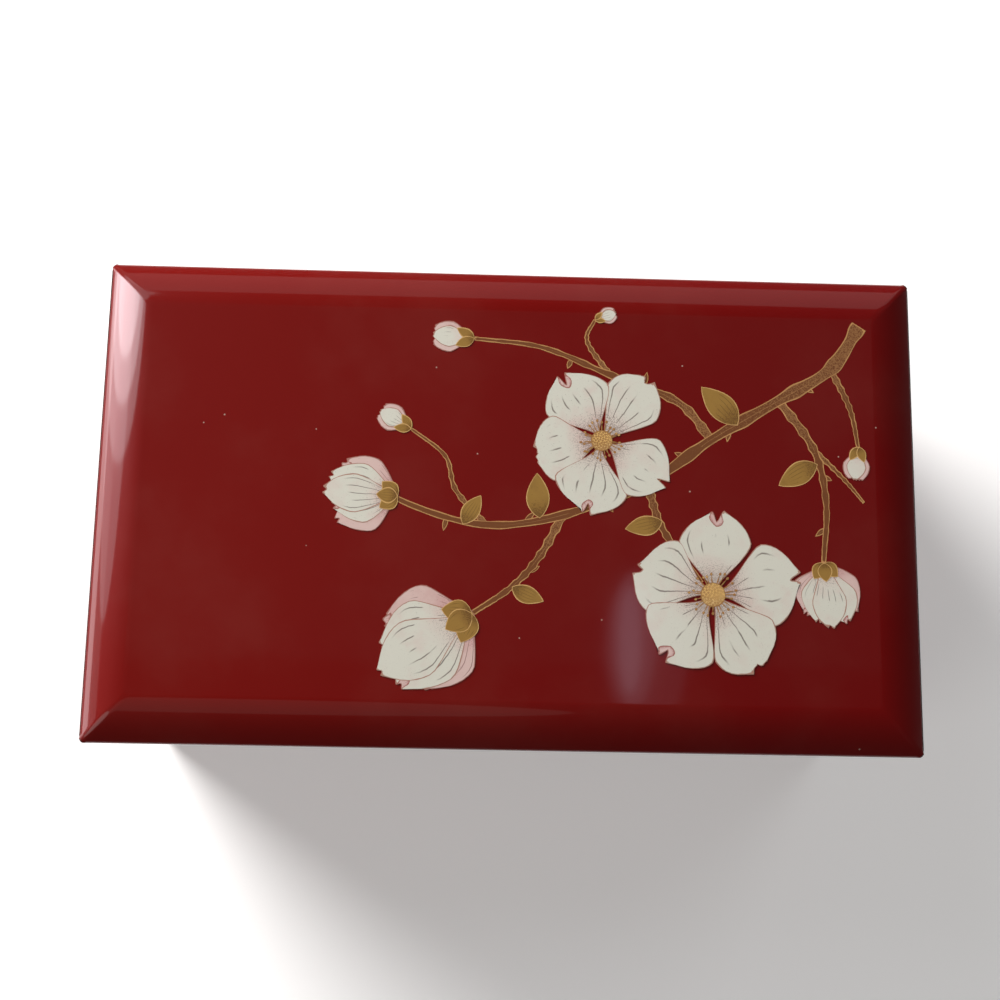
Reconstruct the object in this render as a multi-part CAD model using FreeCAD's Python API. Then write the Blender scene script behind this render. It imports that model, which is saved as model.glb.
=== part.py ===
import FreeCAD, Part
import math
import os

V = FreeCAD.Vector

# The side count of small round parts and the tolerance for telling edges apart
small_sides = 12
near = 1e-6

# Case. X runs to the right, Y to the back, Z up from the felt under the base.
width = 216.0
depth = 127.0
wall = 8.0
corner_r = 1.3
base_t = 6.0
base_round = 1.0
underfelt_t = 1.0
underfelt_in = 2.5
drawer_bay = 26.0
shelf_t = 3.0
tray_depth = 43.0
notch_w = 26.0
notch_h = 5.0
notch_in = 4.6

# Lid
seam = 0.5
lid_h = 19.5
lid_panel = 7.5
bevel_w = 12.0
bevel_drop = 4.5
bevel_crown = 0.7
lid_lining_t = 6.0
lining_play = 0.3
lining_round = 2.0
window_side = 25.0
window_end = 19.5
rebate = 4.0
mirror_t = 2.4
mirror_play = 0.15

# Hinges
hinge_inset = 32.0
hinge_len = 24.0
leaf_t = 0.8
leaf_d = 6.4
leaf_sink = 0.05
mortise_play = 0.1
knuckle_r = 1.9
knuckle_gap = 0.2
barrel_gap = 0.3
pin_r = 0.7
pin_play = 0.05
open_deg = 100.0
stop_w = 1.4
stop_root = 1.4
stop_len = 2.7
stop_deg = 235.0
hinge_screw_x = 7.2
hinge_screw_in = 3.4
hinge_screw_r = 0.8
hinge_head_r = 1.5
hinge_screw_len = 5.0
screw_play = 0.05

# Tray
flock_t = 1.2
flock_drop = 2.0
divider_t = 3.0
divider_h = 30.0
divider_round = 1.1
fit_play = 0.2
bay_play = 1.5
bay_front_play = 3.3
clear_t = 1.5
roll_count = 5
roll_gap = 0.3
roll_h = 17.0
roll_end = 2.5
roll_end_share = 0.55
roll_foot_in = 1.3
roll_side_share = 0.45
roll_brow_in = 1.9
roll_brow_share = 0.8
front_cell = 38.0
small_cell = 61.0

# Drawer
drawer_play = 0.5
drawer_lift = 0.4
side_t = 4.0
side_h = 21.6
drawer_back_gap = 6.0
floor_t = 2.0
floor_up = 0.6
groove = 2.0
groove_play = 0.1
felt_t = 1.0
scoop_w = 28.0
scoop_h = 7.0
stop_block_w = 24.0
stop_block_d = 4.0
stop_block_h = 6.0
drawer_hold = 40.0
stop_slack = 1.0

# Movement. Its axes cross at axis_y, axis_z; stations run to the right from the left wall.
plate_t = 2.2
plate_left = 2.0
plate_edge = 0.4
plate_low = 1.0
plate_h = 36.5
plate_round = 2.0
axis_reach = 18.9
axis_up = 27.0
drum_r = 6.5
drum_len = 24.0
drum_left = 13.4
drum_arbor_r = 1.0
pivot_r = 0.8
pivot_play = 0.06
track_count = 18
track_pitch = 1.28
pins_per_track = 3
pin_size = 0.3
pin_out = 0.8
track_shift = 0.37
note_shift = 0.06
tip_gap = 0.15
tooth_w = 0.85
tooth_t = 0.6
bass_len = 10.0
treble_len = 6.0
comb_t = 1.6
comb_low = 2.5
comb_margin = 0.6
pedestal_h = 6.0
comb_screw_r = 1.1
comb_head_r = 2.3
comb_head_t = 1.2
comb_screw_up = 3.0
comb_screw_span = 11.0
comb_screw_len = 6.0

# Gear train, its tooth heights and widths given as shares of the pitch
tooth_root = 0.46
tooth_tip = 0.2
wheel_add = 0.27
wheel_ded = 0.36
drive_add = 0.24
drive_ded = 0.31
worm_wheel_add = 0.25
flank_root = 0.22
flank_tip = 0.11
gear_teeth = 36
gear_r = 7.0
gear_t = 1.2
gear_left = 9.8
pinion_teeth = 12
pinion_t = 2.2
train_deg = 38.0
worm_wheel_teeth = 16
worm_wheel_r = 4.6
worm_wheel_t = 1.0
worm_left = 6.9
worm_r = 1.45
worm_depth = 0.45
worm_turns = 5
worm_steps = 8
worm_core_r = 0.8
governor_arbor_r = 0.6
fan_r = 3.8
fan_hub_r = 1.2
fan_w = 4.0
fan_t = 0.5
fan_gap = 1.1
arm_ahead = 6.6
arm_half = 1.6
crown_teeth = 24
crown_r = 7.9
crown_half = 1.0
drive_teeth = 10
drive_gap = 1.0
drive_t = 2.7
barrel_r = 9.8
cap_r = 10.1
cap_t = 1.2
barrel_back = 0.5
arbor_r = 1.6
arbor_play = 0.1
arbor_nose_r = 1.1
key_hole_r = 4.0

# Bridge, governor bracket and stop lever
bridge_w = 7.0
bridge_t = 2.8
bridge_post = 2.5
bridge_clear = 0.35
bridge_foot = 9.0
bridge_foot_t = 2.0
bracket_t = 1.1
bracket_left = 3.9
bracket_right = 11.8
bracket_base_t = 1.5
bracket_ear = 3.0
lever_t = 0.7
lever_gap = 1.1
lever_pivot_in = 8.5
lever_pivot_up = 31.5
lever_hub_r = 2.2
lever_stud_r = 0.9
lever_w = 1.6
lever_top_gap = 0.5
lever_lean = 3.5
slot_front = 4.8
slot_back = 3.2
stud_out = 0.3
paddle_w = 3.6
paddle_h = 4.6
plate_screw_r = 1.2
plate_head_r = 2.2
plate_head_t = 1.3
plate_screw_len = 6.0
plate_screw_in = 3.0
small_screw_r = 0.7
small_head_r = 1.2
small_head_t = 0.8
head_taper = 0.8
screw_edge = 0.5

# Key
key_gap = 0.6
key_hub_r = 2.8
key_hub_len = 5.0
key_reach = 10.2
key_span = 21.0
key_t = 2.0
key_eye = 2.2
key_lobe = 4.1
key_web_in = 2.9
key_web_out = 2.0
key_seat = 4.5

# Places that follow from the sizes
half_w = width / 2
half_d = depth / 2
in_x = half_w - wall
in_y = half_d - wall
shelf_low = base_t + drawer_bay
shelf_top = shelf_low + shelf_t
case_top = shelf_top + tray_depth
lid_low = case_top + seam
lid_top = lid_low + lid_h
lid_roof = lid_top - lid_panel
shoulder = lid_top - bevel_drop
hinge_x = in_x - hinge_inset
hinge_y = half_d + barrel_gap + knuckle_r
hinge_z = case_top + seam / 2
window_x = 2 * (in_x - window_side)
window_y = 2 * (in_y - window_end)
drawer_len = 2 * in_y - drawer_back_gap
drawer_travel = drawer_len - drawer_hold
floor_top = shelf_top + flock_t
cover_h = tray_depth - clear_t
plate_face = in_y - plate_t
axis_y = in_y - axis_reach
axis_z = shelf_top + axis_up
left_x = -in_x
drum_x0 = left_x + drum_left
drum_x1 = drum_x0 + drum_len
pins_r = drum_r + pin_out
gear_x = left_x + gear_left
worm_x = left_x + worm_left
pinion_r = gear_r * pinion_teeth / gear_teeth
worm_pitch = 2 * math.pi * worm_wheel_r / worm_wheel_teeth
train_turn = math.radians(train_deg - 90)
governor_y = axis_y + (gear_r + pinion_r) * math.cos(train_turn)
governor_z = axis_z + (gear_r + pinion_r) * math.sin(train_turn)
worm_z = governor_z - worm_wheel_r - worm_r
crown_pitch = 2 * math.pi * crown_r / crown_teeth
drive_r = crown_pitch * drive_teeth / (2 * math.pi)
drive_x0 = drum_x1 + drive_gap
drive_x1 = drive_x0 + drive_t
barrel_x = (drive_x0 + drive_x1) / 2 + crown_r
barrel_front = axis_y + drive_r + drive_ded * crown_pitch
bridge_x0 = drive_x1 + bridge_clear
bridge_x1 = barrel_x + cap_r + bridge_clear + bridge_post
plate_w = bridge_x1 - left_x - plate_left + plate_edge
bay_right = left_x + plate_left + plate_w + bay_play + clear_t
bay_front = axis_y - pins_r - bay_front_play - clear_t
bracket_x0 = left_x + bracket_left
bracket_x1 = left_x + bracket_right + bracket_t
lever_x0 = bracket_x0 - lever_gap - lever_t
arm_y = axis_y - arm_ahead
fan_y = arm_y + bracket_t + fan_gap
tip_z = axis_z - pins_r - tip_gap
comb_x0 = left_x + drum_left + drum_len / 2 - track_pitch * track_count / 2 - comb_margin
comb_x1 = comb_x0 + track_pitch * track_count + 2 * comb_margin


def block(x0, x1, y0, y1, z0, z1):
    return Part.makeBox(x1 - x0, y1 - y0, z1 - z0, V(x0, y0, z0))


def rod_x(r, x0, x1, y, z):
    return Part.makeCylinder(r, x1 - x0, V(x0, y, z), V(1, 0, 0))


def rod_y(r, y0, y1, x, z):
    return Part.makeCylinder(r, y1 - y0, V(x, y0, z), V(0, 1, 0))


def rod_z(r, z0, z1, x, y):
    return Part.makeCylinder(r, z1 - z0, V(x, y, z0), V(0, 0, 1))


def sheet(corners):
    return Part.Face(Part.makePolygon(corners + corners[:1]))


def slab_x(points, x0, x1):
    return sheet([V(x0, y, z) for y, z in points]).extrude(V(x1 - x0, 0, 0))


def slab_y(points, y0, y1):
    return sheet([V(x, y0, z) for x, z in points]).extrude(V(0, y1 - y0, 0))


def closed(faces):
    return Part.makeSolid(Part.makeShell(faces))


def peg(r0, r1, start, end, sides):
    # a small many-sided pin or hole that tapers from r0 at its start to r1 at its end
    along = V(end - start).normalize()
    across = V(0, 0, 1) if abs(along.z) < 0.5 else V(1, 0, 0)
    up = along.cross(across)
    rings = []
    for centre, r in ((start, r0), (end, r1)):
        turns = [2 * math.pi * (i + 0.5) / sides for i in range(sides)]
        rings.append([centre + across * (r * math.cos(t)) + up * (r * math.sin(t)) for t in turns])
    low, high = rings
    walls = [sheet([low[i - 1], low[i], high[i], high[i - 1]]) for i in range(sides)]
    return closed([sheet(low), sheet(high)] + walls)


def fuse(shapes):
    return shapes[0].multiFuse(shapes[1:]).removeSplitter()


def cut(shape, tools):
    return shape.cut(tools)


def group(shapes):
    return Part.makeCompound(shapes)


def turned(shape, centre, axis, degrees):
    copy = shape.copy()
    copy.rotate(centre, axis, degrees)
    return copy


def mirrored(shape):
    return shape.mirror(V(0, 0, 0), V(1, 0, 0))


def save(name, shape):
    shape.exportStep("parts/" + name + ".step")


def outline(z0, z1):
    # the rounded plan of the box as a prism
    prism = block(-half_w, half_w, -half_d, half_d, z0, z1)
    upright = [e for e in prism.Edges if abs(e.tangentAt(e.FirstParameter).z) > 0.9]
    return prism.makeFillet(corner_r, upright)


def arch(width_x, rise, z):
    # radius and centre height of a circle that cuts a scoop this wide and deep below z
    radius = ((width_x / 2) ** 2 + rise ** 2) / (2 * rise)
    return radius, z - rise + radius


# Case

def base_panel():
    prism = outline(underfelt_t, base_t)
    low = [e for e in prism.Edges if e.BoundBox.ZMax < underfelt_t + near]
    return prism.makeChamfer(base_round, low)


def base_felt():
    x = half_w - underfelt_in
    y = half_d - underfelt_in
    return block(-x, x, -y, y, 0, underfelt_t)


def side_wall():
    return outline(base_t, case_top).common(block(-half_w, -in_x, -half_d, half_d, base_t, case_top))


def back_wall():
    panel = block(-in_x, in_x, in_y, half_d, base_t, case_top)
    tools = [mortise(case_top - leaf_sink - leaf_t, case_top + seam)]
    tools.append(rod_y(key_hole_r, in_y, half_d, barrel_x, axis_z))
    tools += leaf_shanks(case_top - leaf_sink, -1, screw_play)
    for x, z in plate_screw_places():
        tools.append(pin_y(plate_screw_r + screw_play, in_y, in_y + plate_screw_len, x, z))
    return cut(panel, tools)


def front_rail():
    panel = block(-in_x, in_x, -half_d, -in_y, shelf_low, case_top)
    radius, centre = arch(notch_w, notch_h, case_top)
    return cut(panel, [rod_y(radius, -half_d - 1, -half_d + notch_in, 0, centre)])


def tray_shelf():
    return block(-in_x, in_x, -in_y, in_y, shelf_low, shelf_top)


def stop_block():
    y = -in_y + drawer_len - side_t - drawer_travel - stop_slack
    half = stop_block_w / 2
    return block(-half, half, y - stop_block_d, y, shelf_low - stop_block_h, shelf_low)


# Hinges

def hinge_screw_places():
    xs = [s * hinge_x + d * hinge_screw_x for s in (-1, 1) for d in (-1, 1)]
    return [(x, half_d - hinge_screw_in) for x in xs]


def mortise(z0, z1):
    half = hinge_len / 2 + mortise_play
    y0 = half_d - leaf_d - mortise_play
    cuts = [block(s * hinge_x - half, s * hinge_x + half, y0, half_d + 1, z0, z1) for s in (-1, 1)]
    return group(cuts)


def leaf_heads(top, down, play):
    # the countersunk heads, flush at height top and pointing down (-1) or up (1)
    wide, slim, end = hinge_head_r + play, hinge_screw_r + play, top + down * leaf_t
    return [peg(wide, slim, V(x, y, top), V(x, y, end), small_sides) for x, y in hinge_screw_places()]


def leaf_shanks(top, down, play):
    start, end = top + down * leaf_t, top + down * (leaf_t + hinge_screw_len)
    r = hinge_screw_r + play
    return [peg(r, r, V(x, y, start), V(x, y, end), small_sides) for x, y in hinge_screw_places()]


def leaf_screws(top, down):
    pairs = zip(leaf_heads(top, down, 0), leaf_shanks(top, down, 0))
    return group([fuse(list(pair)) for pair in pairs])


def knuckle(x0, x1, z0, bore):
    # one piece of the hinge barrel with the strip that joins it to its leaf
    strip = block(x0, x1, half_d - leaf_d, hinge_y, z0, z0 + leaf_t)
    whole = rod_x(knuckle_r, x0, x1, hinge_y, hinge_z)
    return fuse([strip, whole]).cut(rod_x(bore, x0, x1, hinge_y, hinge_z))


def case_leaf(x_mid):
    half = hinge_len / 2
    inner = hinge_len / 6
    z0 = case_top - leaf_sink - leaf_t
    plate = block(x_mid - half, x_mid + half, half_d - leaf_d, half_d - mortise_play, z0, z0 + leaf_t)
    left = knuckle(x_mid - half, x_mid - inner - knuckle_gap, z0, pin_r)
    right = knuckle(x_mid + inner + knuckle_gap, x_mid + half, z0, pin_r)
    return cut(fuse([plate, left, right]), leaf_heads(case_top - leaf_sink, -1, screw_play))


def lid_leaf(x_mid):
    half = hinge_len / 2
    inner = hinge_len / 6
    z0 = lid_low + leaf_sink
    plate = block(x_mid - half, x_mid + half, half_d - leaf_d, half_d - mortise_play, z0, z0 + leaf_t)
    middle = knuckle(x_mid - inner, x_mid + inner, z0, pin_r + pin_play)
    lug = block(x_mid - inner, x_mid + inner, hinge_y + stop_root, hinge_y + stop_len,
                hinge_z - stop_w / 2, hinge_z + stop_w / 2)
    lug = turned(lug, V(0, hinge_y, hinge_z), V(1, 0, 0), stop_deg + open_deg)
    return cut(fuse([plate, middle, lug]), leaf_heads(z0, 1, screw_play))


def hinge_pin(x_mid):
    return rod_x(pin_r, x_mid - hinge_len / 2, x_mid + hinge_len / 2, hinge_y, hinge_z)


# Lid

def crowned(half, place):
    # half-profile of the lid mirrored about its middle, place turns (across, height) into a point
    edge, flat = half, half - bevel_w
    mid = (edge + flat) / 2 + bevel_crown * bevel_drop / bevel_w
    high = (shoulder + lid_top) / 2 + bevel_crown
    corners = [(-edge, lid_low), (edge, lid_low), (edge, shoulder), (flat, lid_top),
               (-flat, lid_top), (-edge, shoulder)]
    p = [place(a, z) for a, z in corners]
    edges = [Part.makeLine(p[0], p[1]), Part.makeLine(p[1], p[2]),
             Part.Arc(p[2], place(mid, high), p[3]).toShape(), Part.makeLine(p[3], p[4]),
             Part.Arc(p[4], place(-mid, high), p[5]).toShape(), Part.makeLine(p[5], p[0])]
    return Part.Face(Part.Wire(edges))


def lid_shell():
    across = crowned(half_w, lambda a, z: V(a, -half_d, z)).extrude(V(0, depth, 0))
    along = crowned(half_d, lambda a, z: V(-half_w, a, z)).extrude(V(width, 0, 0))
    shell = across.common(along).common(outline(lid_low, lid_top))
    tools = [block(-in_x, in_x, -in_y, in_y, lid_low, lid_roof)]
    tools.append(mortise(lid_low - seam, lid_low + leaf_sink + leaf_t))
    return cut(shell, tools + leaf_shanks(lid_low + leaf_sink, 1, screw_play))


def lid_lining():
    x = in_x - lining_play
    y = in_y - lining_play
    low = lid_roof - lid_lining_t
    board = block(-x, x, -y, y, low, lid_roof)
    board = board.cut(block(-window_x / 2, window_x / 2, -window_y / 2, window_y / 2, low, lid_roof))
    soft = [e for e in board.Edges if e.BoundBox.ZMax < low + near]
    board = board.makeFillet(lining_round, soft)
    rx = window_x / 2 + rebate
    ry = window_y / 2 + rebate
    return board.cut(block(-rx, rx, -ry, ry, mirror_low(), lid_roof))


def mirror_low():
    return lid_roof - mirror_t - mirror_play


def mirror():
    x = window_x / 2 + rebate - mirror_play
    y = window_y / 2 + rebate - mirror_play
    return block(-x, x, -y, y, mirror_low(), lid_roof - mirror_play)


# Tray

def tray_lining():
    top = case_top - flock_drop
    ring = block(-in_x, in_x, -in_y, in_y, shelf_top, top)
    inner = block(-in_x + flock_t, in_x - flock_t, -in_y + flock_t, in_y - flock_t, shelf_top, top)
    bay = block(-in_x, bay_right + fit_play, bay_front - fit_play, in_y, shelf_top, top)
    return ring.cut([inner, bay])


def tray_floor():
    x = in_x - flock_t
    y = in_y - flock_t
    felt = block(-x, x, -y, y, shelf_top, floor_top)
    return felt.cut(block(-x, bay_right + fit_play, bay_front - fit_play, y, shelf_top, floor_top))


def divider(x0, x1, y0, y1):
    board = block(x0, x1, y0, y1, floor_top, floor_top + divider_h)
    length = max(x1 - x0, y1 - y0)
    top = [e for e in board.Edges if e.BoundBox.ZMin > floor_top + divider_h - near]
    return board.makeFillet(divider_round, [e for e in top if e.Length > length - near])


def divider_places():
    # x0, x1, y0, y1 of each divider
    right = in_x - flock_t
    front = -in_y + flock_t
    rings_x = bay_right + fit_play
    rear_y = bay_front + divider_t / 2
    cross_y = front + front_cell
    small_x = rings_x + divider_t + small_cell
    return {
        "divider_rear": (bay_right + fit_play, right - fit_play, rear_y - divider_t, rear_y),
        "divider_rings": (rings_x, rings_x + divider_t, front + fit_play, rear_y - divider_t - fit_play),
        "divider_cross": (rings_x + divider_t + fit_play, right - fit_play, cross_y, cross_y + divider_t),
        "divider_small": (small_x, small_x + divider_t, cross_y + divider_t + fit_play,
                          rear_y - divider_t - fit_play),
    }


def roll_section(x, y_mid, half, height):
    # one cross-section of a ring roll: flat foot, bulging sides and a crowned top
    z = floor_top
    foot = half - roll_foot_in
    brow = half - roll_brow_in
    side_z = z + height * roll_side_share
    brow_z = z + height * roll_brow_share
    low_l, low_r = V(x, y_mid - foot, z), V(x, y_mid + foot, z)
    top_l, top_r = V(x, y_mid - brow, brow_z), V(x, y_mid + brow, brow_z)
    side_l, side_r = V(x, y_mid - half, side_z), V(x, y_mid + half, side_z)
    return Part.Wire([
        Part.makeLine(low_l, low_r),
        Part.Arc(low_r, side_r, top_r).toShape(),
        Part.Arc(top_r, V(x, y_mid, z + height), top_l).toShape(),
        Part.Arc(top_l, side_l, low_l).toShape(),
    ])


def ring_roll(index):
    # the ends lean inwards towards the top
    x0, x1, y0, y1 = ring_space()
    pitch = (y1 - y0) / roll_count
    wire = roll_section(x0, y0 + pitch * (index + 0.5), (pitch - roll_gap) / 2, roll_h)
    lean_z = floor_top + roll_h * roll_end_share
    ends = [(x0, floor_top), (x1, floor_top), (x1, lean_z), (x1 - roll_end, floor_top + roll_h),
            (x0 + roll_end, floor_top + roll_h), (x0, lean_z)]
    return Part.Face(wire).extrude(V(x1 - x0, 0, 0)).common(slab_y(ends, y0, y1))


def ring_space():
    places = divider_places()["divider_rings"]
    return (-in_x + flock_t + fit_play, places[0] - fit_play,
            -in_y + flock_t + fit_play, bay_front - fit_play)


# Clear cover of the movement

def cover_front():
    return block(-in_x + fit_play, bay_right, bay_front, bay_front + clear_t,
                 shelf_top, shelf_top + cover_h)


def cover_side():
    return block(bay_right - clear_t, bay_right, bay_front + clear_t, in_y - fit_play,
                 shelf_top, shelf_top + cover_h)


def cover_top():
    z = shelf_top + cover_h
    plate = block(-in_x + fit_play, bay_right, bay_front, in_y - fit_play, z, z + clear_t)
    slot_y = in_y - lever_pivot_in
    slot = block(-in_x, lever_x0 + lever_t + lever_gap, slot_y - slot_front,
                 slot_y + slot_back, z, z + clear_t)
    return plate.cut(slot)


# Drawer

def drawer_front():
    x = in_x - drawer_play
    panel = block(-x, x, -half_d, -in_y, base_t + drawer_lift, shelf_low - drawer_play)
    radius, centre = arch(scoop_w, scoop_h, shelf_low - drawer_play)
    panel = panel.cut(rod_y(radius, -half_d, -in_y, 0, centre))
    return panel.cut(drawer_floor_at(-in_y - groove, groove_play))


def drawer_floor_at(front, play):
    # the floor board, its front edge at this place, grown by play for its grooves
    x = in_x - drawer_play - side_t + groove
    low = base_t + drawer_lift + floor_up
    back = -in_y + drawer_len - side_t + groove
    return block(-x - play, x + play, front - play, back + play, low - play, low + floor_t + play)


def drawer_side():
    x = in_x - drawer_play
    low = base_t + drawer_lift
    board = block(-x, -x + side_t, -in_y, -in_y + drawer_len, low, low + side_h)
    return board.cut(drawer_floor_at(-in_y - groove, groove_play))


def drawer_back():
    x = in_x - drawer_play - side_t
    low = base_t + drawer_lift
    y1 = -in_y + drawer_len
    board = block(-x, x, y1 - side_t, y1, low, low + side_h)
    return board.cut(drawer_floor_at(-in_y - groove, groove_play))


def drawer_bottom():
    return drawer_floor_at(-in_y - groove, 0)


def drawer_lining():
    x = in_x - drawer_play - side_t - fit_play
    low = base_t + drawer_lift + floor_up + floor_t
    y1 = -in_y + drawer_len - side_t - fit_play
    return block(-x, x, -in_y + fit_play, y1, low, low + felt_t)


# Gears

def toothed(teeth, root_r, tip_r, root_w, tip_w, turn):
    # outline of a gear round the origin with straight-sided teeth, one of them at angle turn
    points = []
    for i in range(teeth):
        angle = turn + 2 * math.pi * i / teeth
        for radius, side in ((root_r, -root_w), (tip_r, -tip_w), (tip_r, tip_w), (root_r, root_w)):
            points.append((radius * math.cos(angle) - side / 2 * math.sin(angle),
                           radius * math.sin(angle) + side / 2 * math.cos(angle)))
    return points


def gear_along_x(teeth, pitch_r, add, ded, turn, x0, x1, y, z):
    pitch = 2 * math.pi * pitch_r / teeth
    points = toothed(teeth, pitch_r - ded * pitch, pitch_r + add * pitch, tooth_root * pitch,
                     tooth_tip * pitch, turn)
    return slab_x([(y + a, z + b) for a, b in points], x0, x1)


def music_cylinder():
    drum = rod_x(drum_r, drum_x0, drum_x1, axis_y, axis_z)
    arbor = rod_x(drum_arbor_r, gear_x - gear_t, drive_x1, axis_y, axis_z)
    left = rod_x(pivot_r, bracket_x0, gear_x, axis_y, axis_z)
    right = rod_x(pivot_r, drum_x1, bridge_x0 + bridge_post, axis_y, axis_z)
    return fuse([drum, arbor, left, right] + drum_pins())


def drum_pins():
    pins = []
    for track in range(track_count):
        x = track_x(track)
        for note in range(pins_per_track):
            share = track * track_shift + note / pins_per_track + note_shift * (track * note % 3)
            pin = block(x - pin_size / 2, x + pin_size / 2, axis_y - pin_size / 2, axis_y + pin_size / 2,
                        axis_z + drum_r - pin_size, axis_z + pins_r)
            pins.append(turned(pin, V(0, axis_y, axis_z), V(1, 0, 0), 360 * share))
    return pins


def track_x(track):
    return (drum_x0 + drum_x1) / 2 + (track - (track_count - 1) / 2) * track_pitch


def cylinder_gear():
    gear = gear_along_x(gear_teeth, gear_r, wheel_add, wheel_ded, train_turn, gear_x, gear_x + gear_t,
                        axis_y, axis_z)
    return gear.cut(rod_x(drum_arbor_r, gear_x, gear_x + gear_t, axis_y, axis_z))


def cylinder_pinion():
    turn = math.pi / drive_teeth
    pinion = gear_along_x(drive_teeth, drive_r, drive_add, drive_ded, turn, drive_x0, drive_x1,
                          axis_y, axis_z)
    return pinion.cut(rod_x(drum_arbor_r, drive_x0, drive_x1, axis_y, axis_z))


def spring_barrel():
    back = plate_face - barrel_back
    drum = rod_y(barrel_r, barrel_front, back, barrel_x, axis_z)
    cap = rod_y(cap_r, back - cap_t, back, barrel_x, axis_z)
    bore = rod_y(arbor_r + arbor_play, barrel_front, back, barrel_x, axis_z)
    return fuse([drum, cap] + crown()).cut(bore)


def crown():
    # the ring of teeth that stand out of the barrel's face
    tip = axis_y + drive_r - drive_add * crown_pitch
    half_root, half_tip = flank_root * crown_pitch, flank_tip * crown_pitch
    sunk = barrel_front + crown_half
    points = [(sunk, axis_z - half_root), (barrel_front, axis_z - half_root), (tip, axis_z - half_tip),
              (tip, axis_z + half_tip), (barrel_front, axis_z + half_root), (sunk, axis_z + half_root)]
    tooth = slab_x(points, barrel_x - crown_r - crown_half, barrel_x - crown_r + crown_half)
    centre = V(barrel_x, 0, axis_z)
    return [turned(tooth, centre, V(0, 1, 0), 360 / crown_teeth * i) for i in range(crown_teeth)]


def governor_wheel():
    arbor = rod_x(governor_arbor_r, bracket_x0, bracket_x1, governor_y, governor_z)
    down = -math.pi / 2
    wheel = gear_along_x(worm_wheel_teeth, worm_wheel_r, worm_wheel_add, wheel_ded, down,
                         worm_x - worm_wheel_t / 2, worm_x + worm_wheel_t / 2, governor_y, governor_z)
    middle = gear_x + gear_t / 2
    turn = train_turn + math.pi + math.pi / pinion_teeth
    pinion = gear_along_x(pinion_teeth, pinion_r, wheel_add, wheel_ded, turn, middle - pinion_t / 2,
                          middle + pinion_t / 2, governor_y, governor_z)
    return fuse([arbor, wheel, pinion])


def thread_section(step):
    # the four corners of the thread a number of steps along it, on a right-handed helix along Y
    angle = 2 * math.pi * step / worm_steps
    y = governor_y + (step / worm_steps - worm_turns / 2) * worm_pitch
    inner = (worm_core_r + governor_arbor_r) / 2
    outer = worm_r + worm_depth
    wide, slim = flank_root * worm_pitch, flank_tip * worm_pitch
    across, up = math.sin(angle), math.cos(angle)
    return [V(worm_x + r * across, y + side, worm_z + r * up)
            for r, side in ((inner, -wide), (outer, -slim), (outer, slim), (inner, wide))]


def worm():
    rings = [thread_section(step) for step in range(worm_turns * worm_steps + 1)]
    faces = [sheet(rings[0]), sheet(rings[-1])]
    for low, high in zip(rings, rings[1:]):
        for i in range(4):
            faces.append(sheet([low[i - 1], low[i], high[i]]))
            faces.append(sheet([low[i - 1], high[i], high[i - 1]]))
    return closed(faces)


def governor_fan():
    shaft = rod_y(governor_arbor_r, arm_y, plate_face, worm_x, worm_z)
    half = worm_pitch * (worm_turns + 1) / 2
    core = peg(worm_core_r, worm_core_r, V(worm_x, governor_y - half, worm_z),
               V(worm_x, governor_y + half, worm_z), worm_steps)
    hub = rod_y(fan_hub_r, fan_y, fan_y + fan_w, worm_x, worm_z)
    wing = block(worm_x - fan_r, worm_x + fan_r, fan_y, fan_y + fan_w,
                 worm_z - fan_t / 2, worm_z + fan_t / 2)
    return fuse([shaft, core, hub, wing, worm()])


# Movement frame

def plate_screw_places():
    high = shelf_top + plate_low + plate_h - plate_screw_in
    low = shelf_top + plate_low + plate_screw_in
    left, right = drum_x0 + plate_screw_in * 2, drum_x1 - plate_screw_in
    return [(left, high), (right, high), (barrel_x + cap_r / 2, low)]


def comb_screw_places():
    middle = (comb_x0 + comb_x1) / 2
    z = shelf_top + comb_low + comb_screw_up
    return [(middle - comb_screw_span / 2, z), (middle + comb_screw_span / 2, z)]


def bracket_screw():
    return (gear_x, bracket_low() + small_head_r + screw_edge, plate_face - bracket_base_t)


def bridge_screws():
    x = bridge_x1 - bridge_post / 2
    rise = (bridge_w / 2 + bridge_foot) / 2
    return [(x, axis_z + side * rise, plate_face - bridge_foot_t) for side in (-1, 1)]


def movement_plate():
    x0 = left_x + plate_left
    z0 = shelf_top + plate_low
    plate = block(x0, x0 + plate_w, plate_face, in_y, z0, z0 + plate_h)
    corners = [e for e in plate.Edges if abs(e.tangentAt(e.FirstParameter).y) > 0.9]
    plate = plate.makeChamfer(plate_round, corners)
    low = shelf_top + comb_low
    pedestal = block(comb_x0 + comb_margin, comb_x1 - comb_margin, axis_y + comb_t / 2, in_y,
                     low, low + pedestal_h)
    tools = [rod_y(arbor_r + arbor_play, plate_face, in_y, barrel_x, axis_z)]
    for x, z in plate_screw_places():
        tools.append(pin_y(plate_screw_r + screw_play, plate_face, in_y, x, z))
    for x, z in comb_screw_places():
        tools.append(pin_y(comb_screw_r + screw_play, axis_y, axis_y + comb_screw_len, x, z))
    for x, z, face in [bracket_screw()] + bridge_screws():
        tools.append(pin_y(small_screw_r + screw_play, plate_face, in_y, x, z))
    return cut(fuse([plate, pedestal]), tools)


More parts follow.
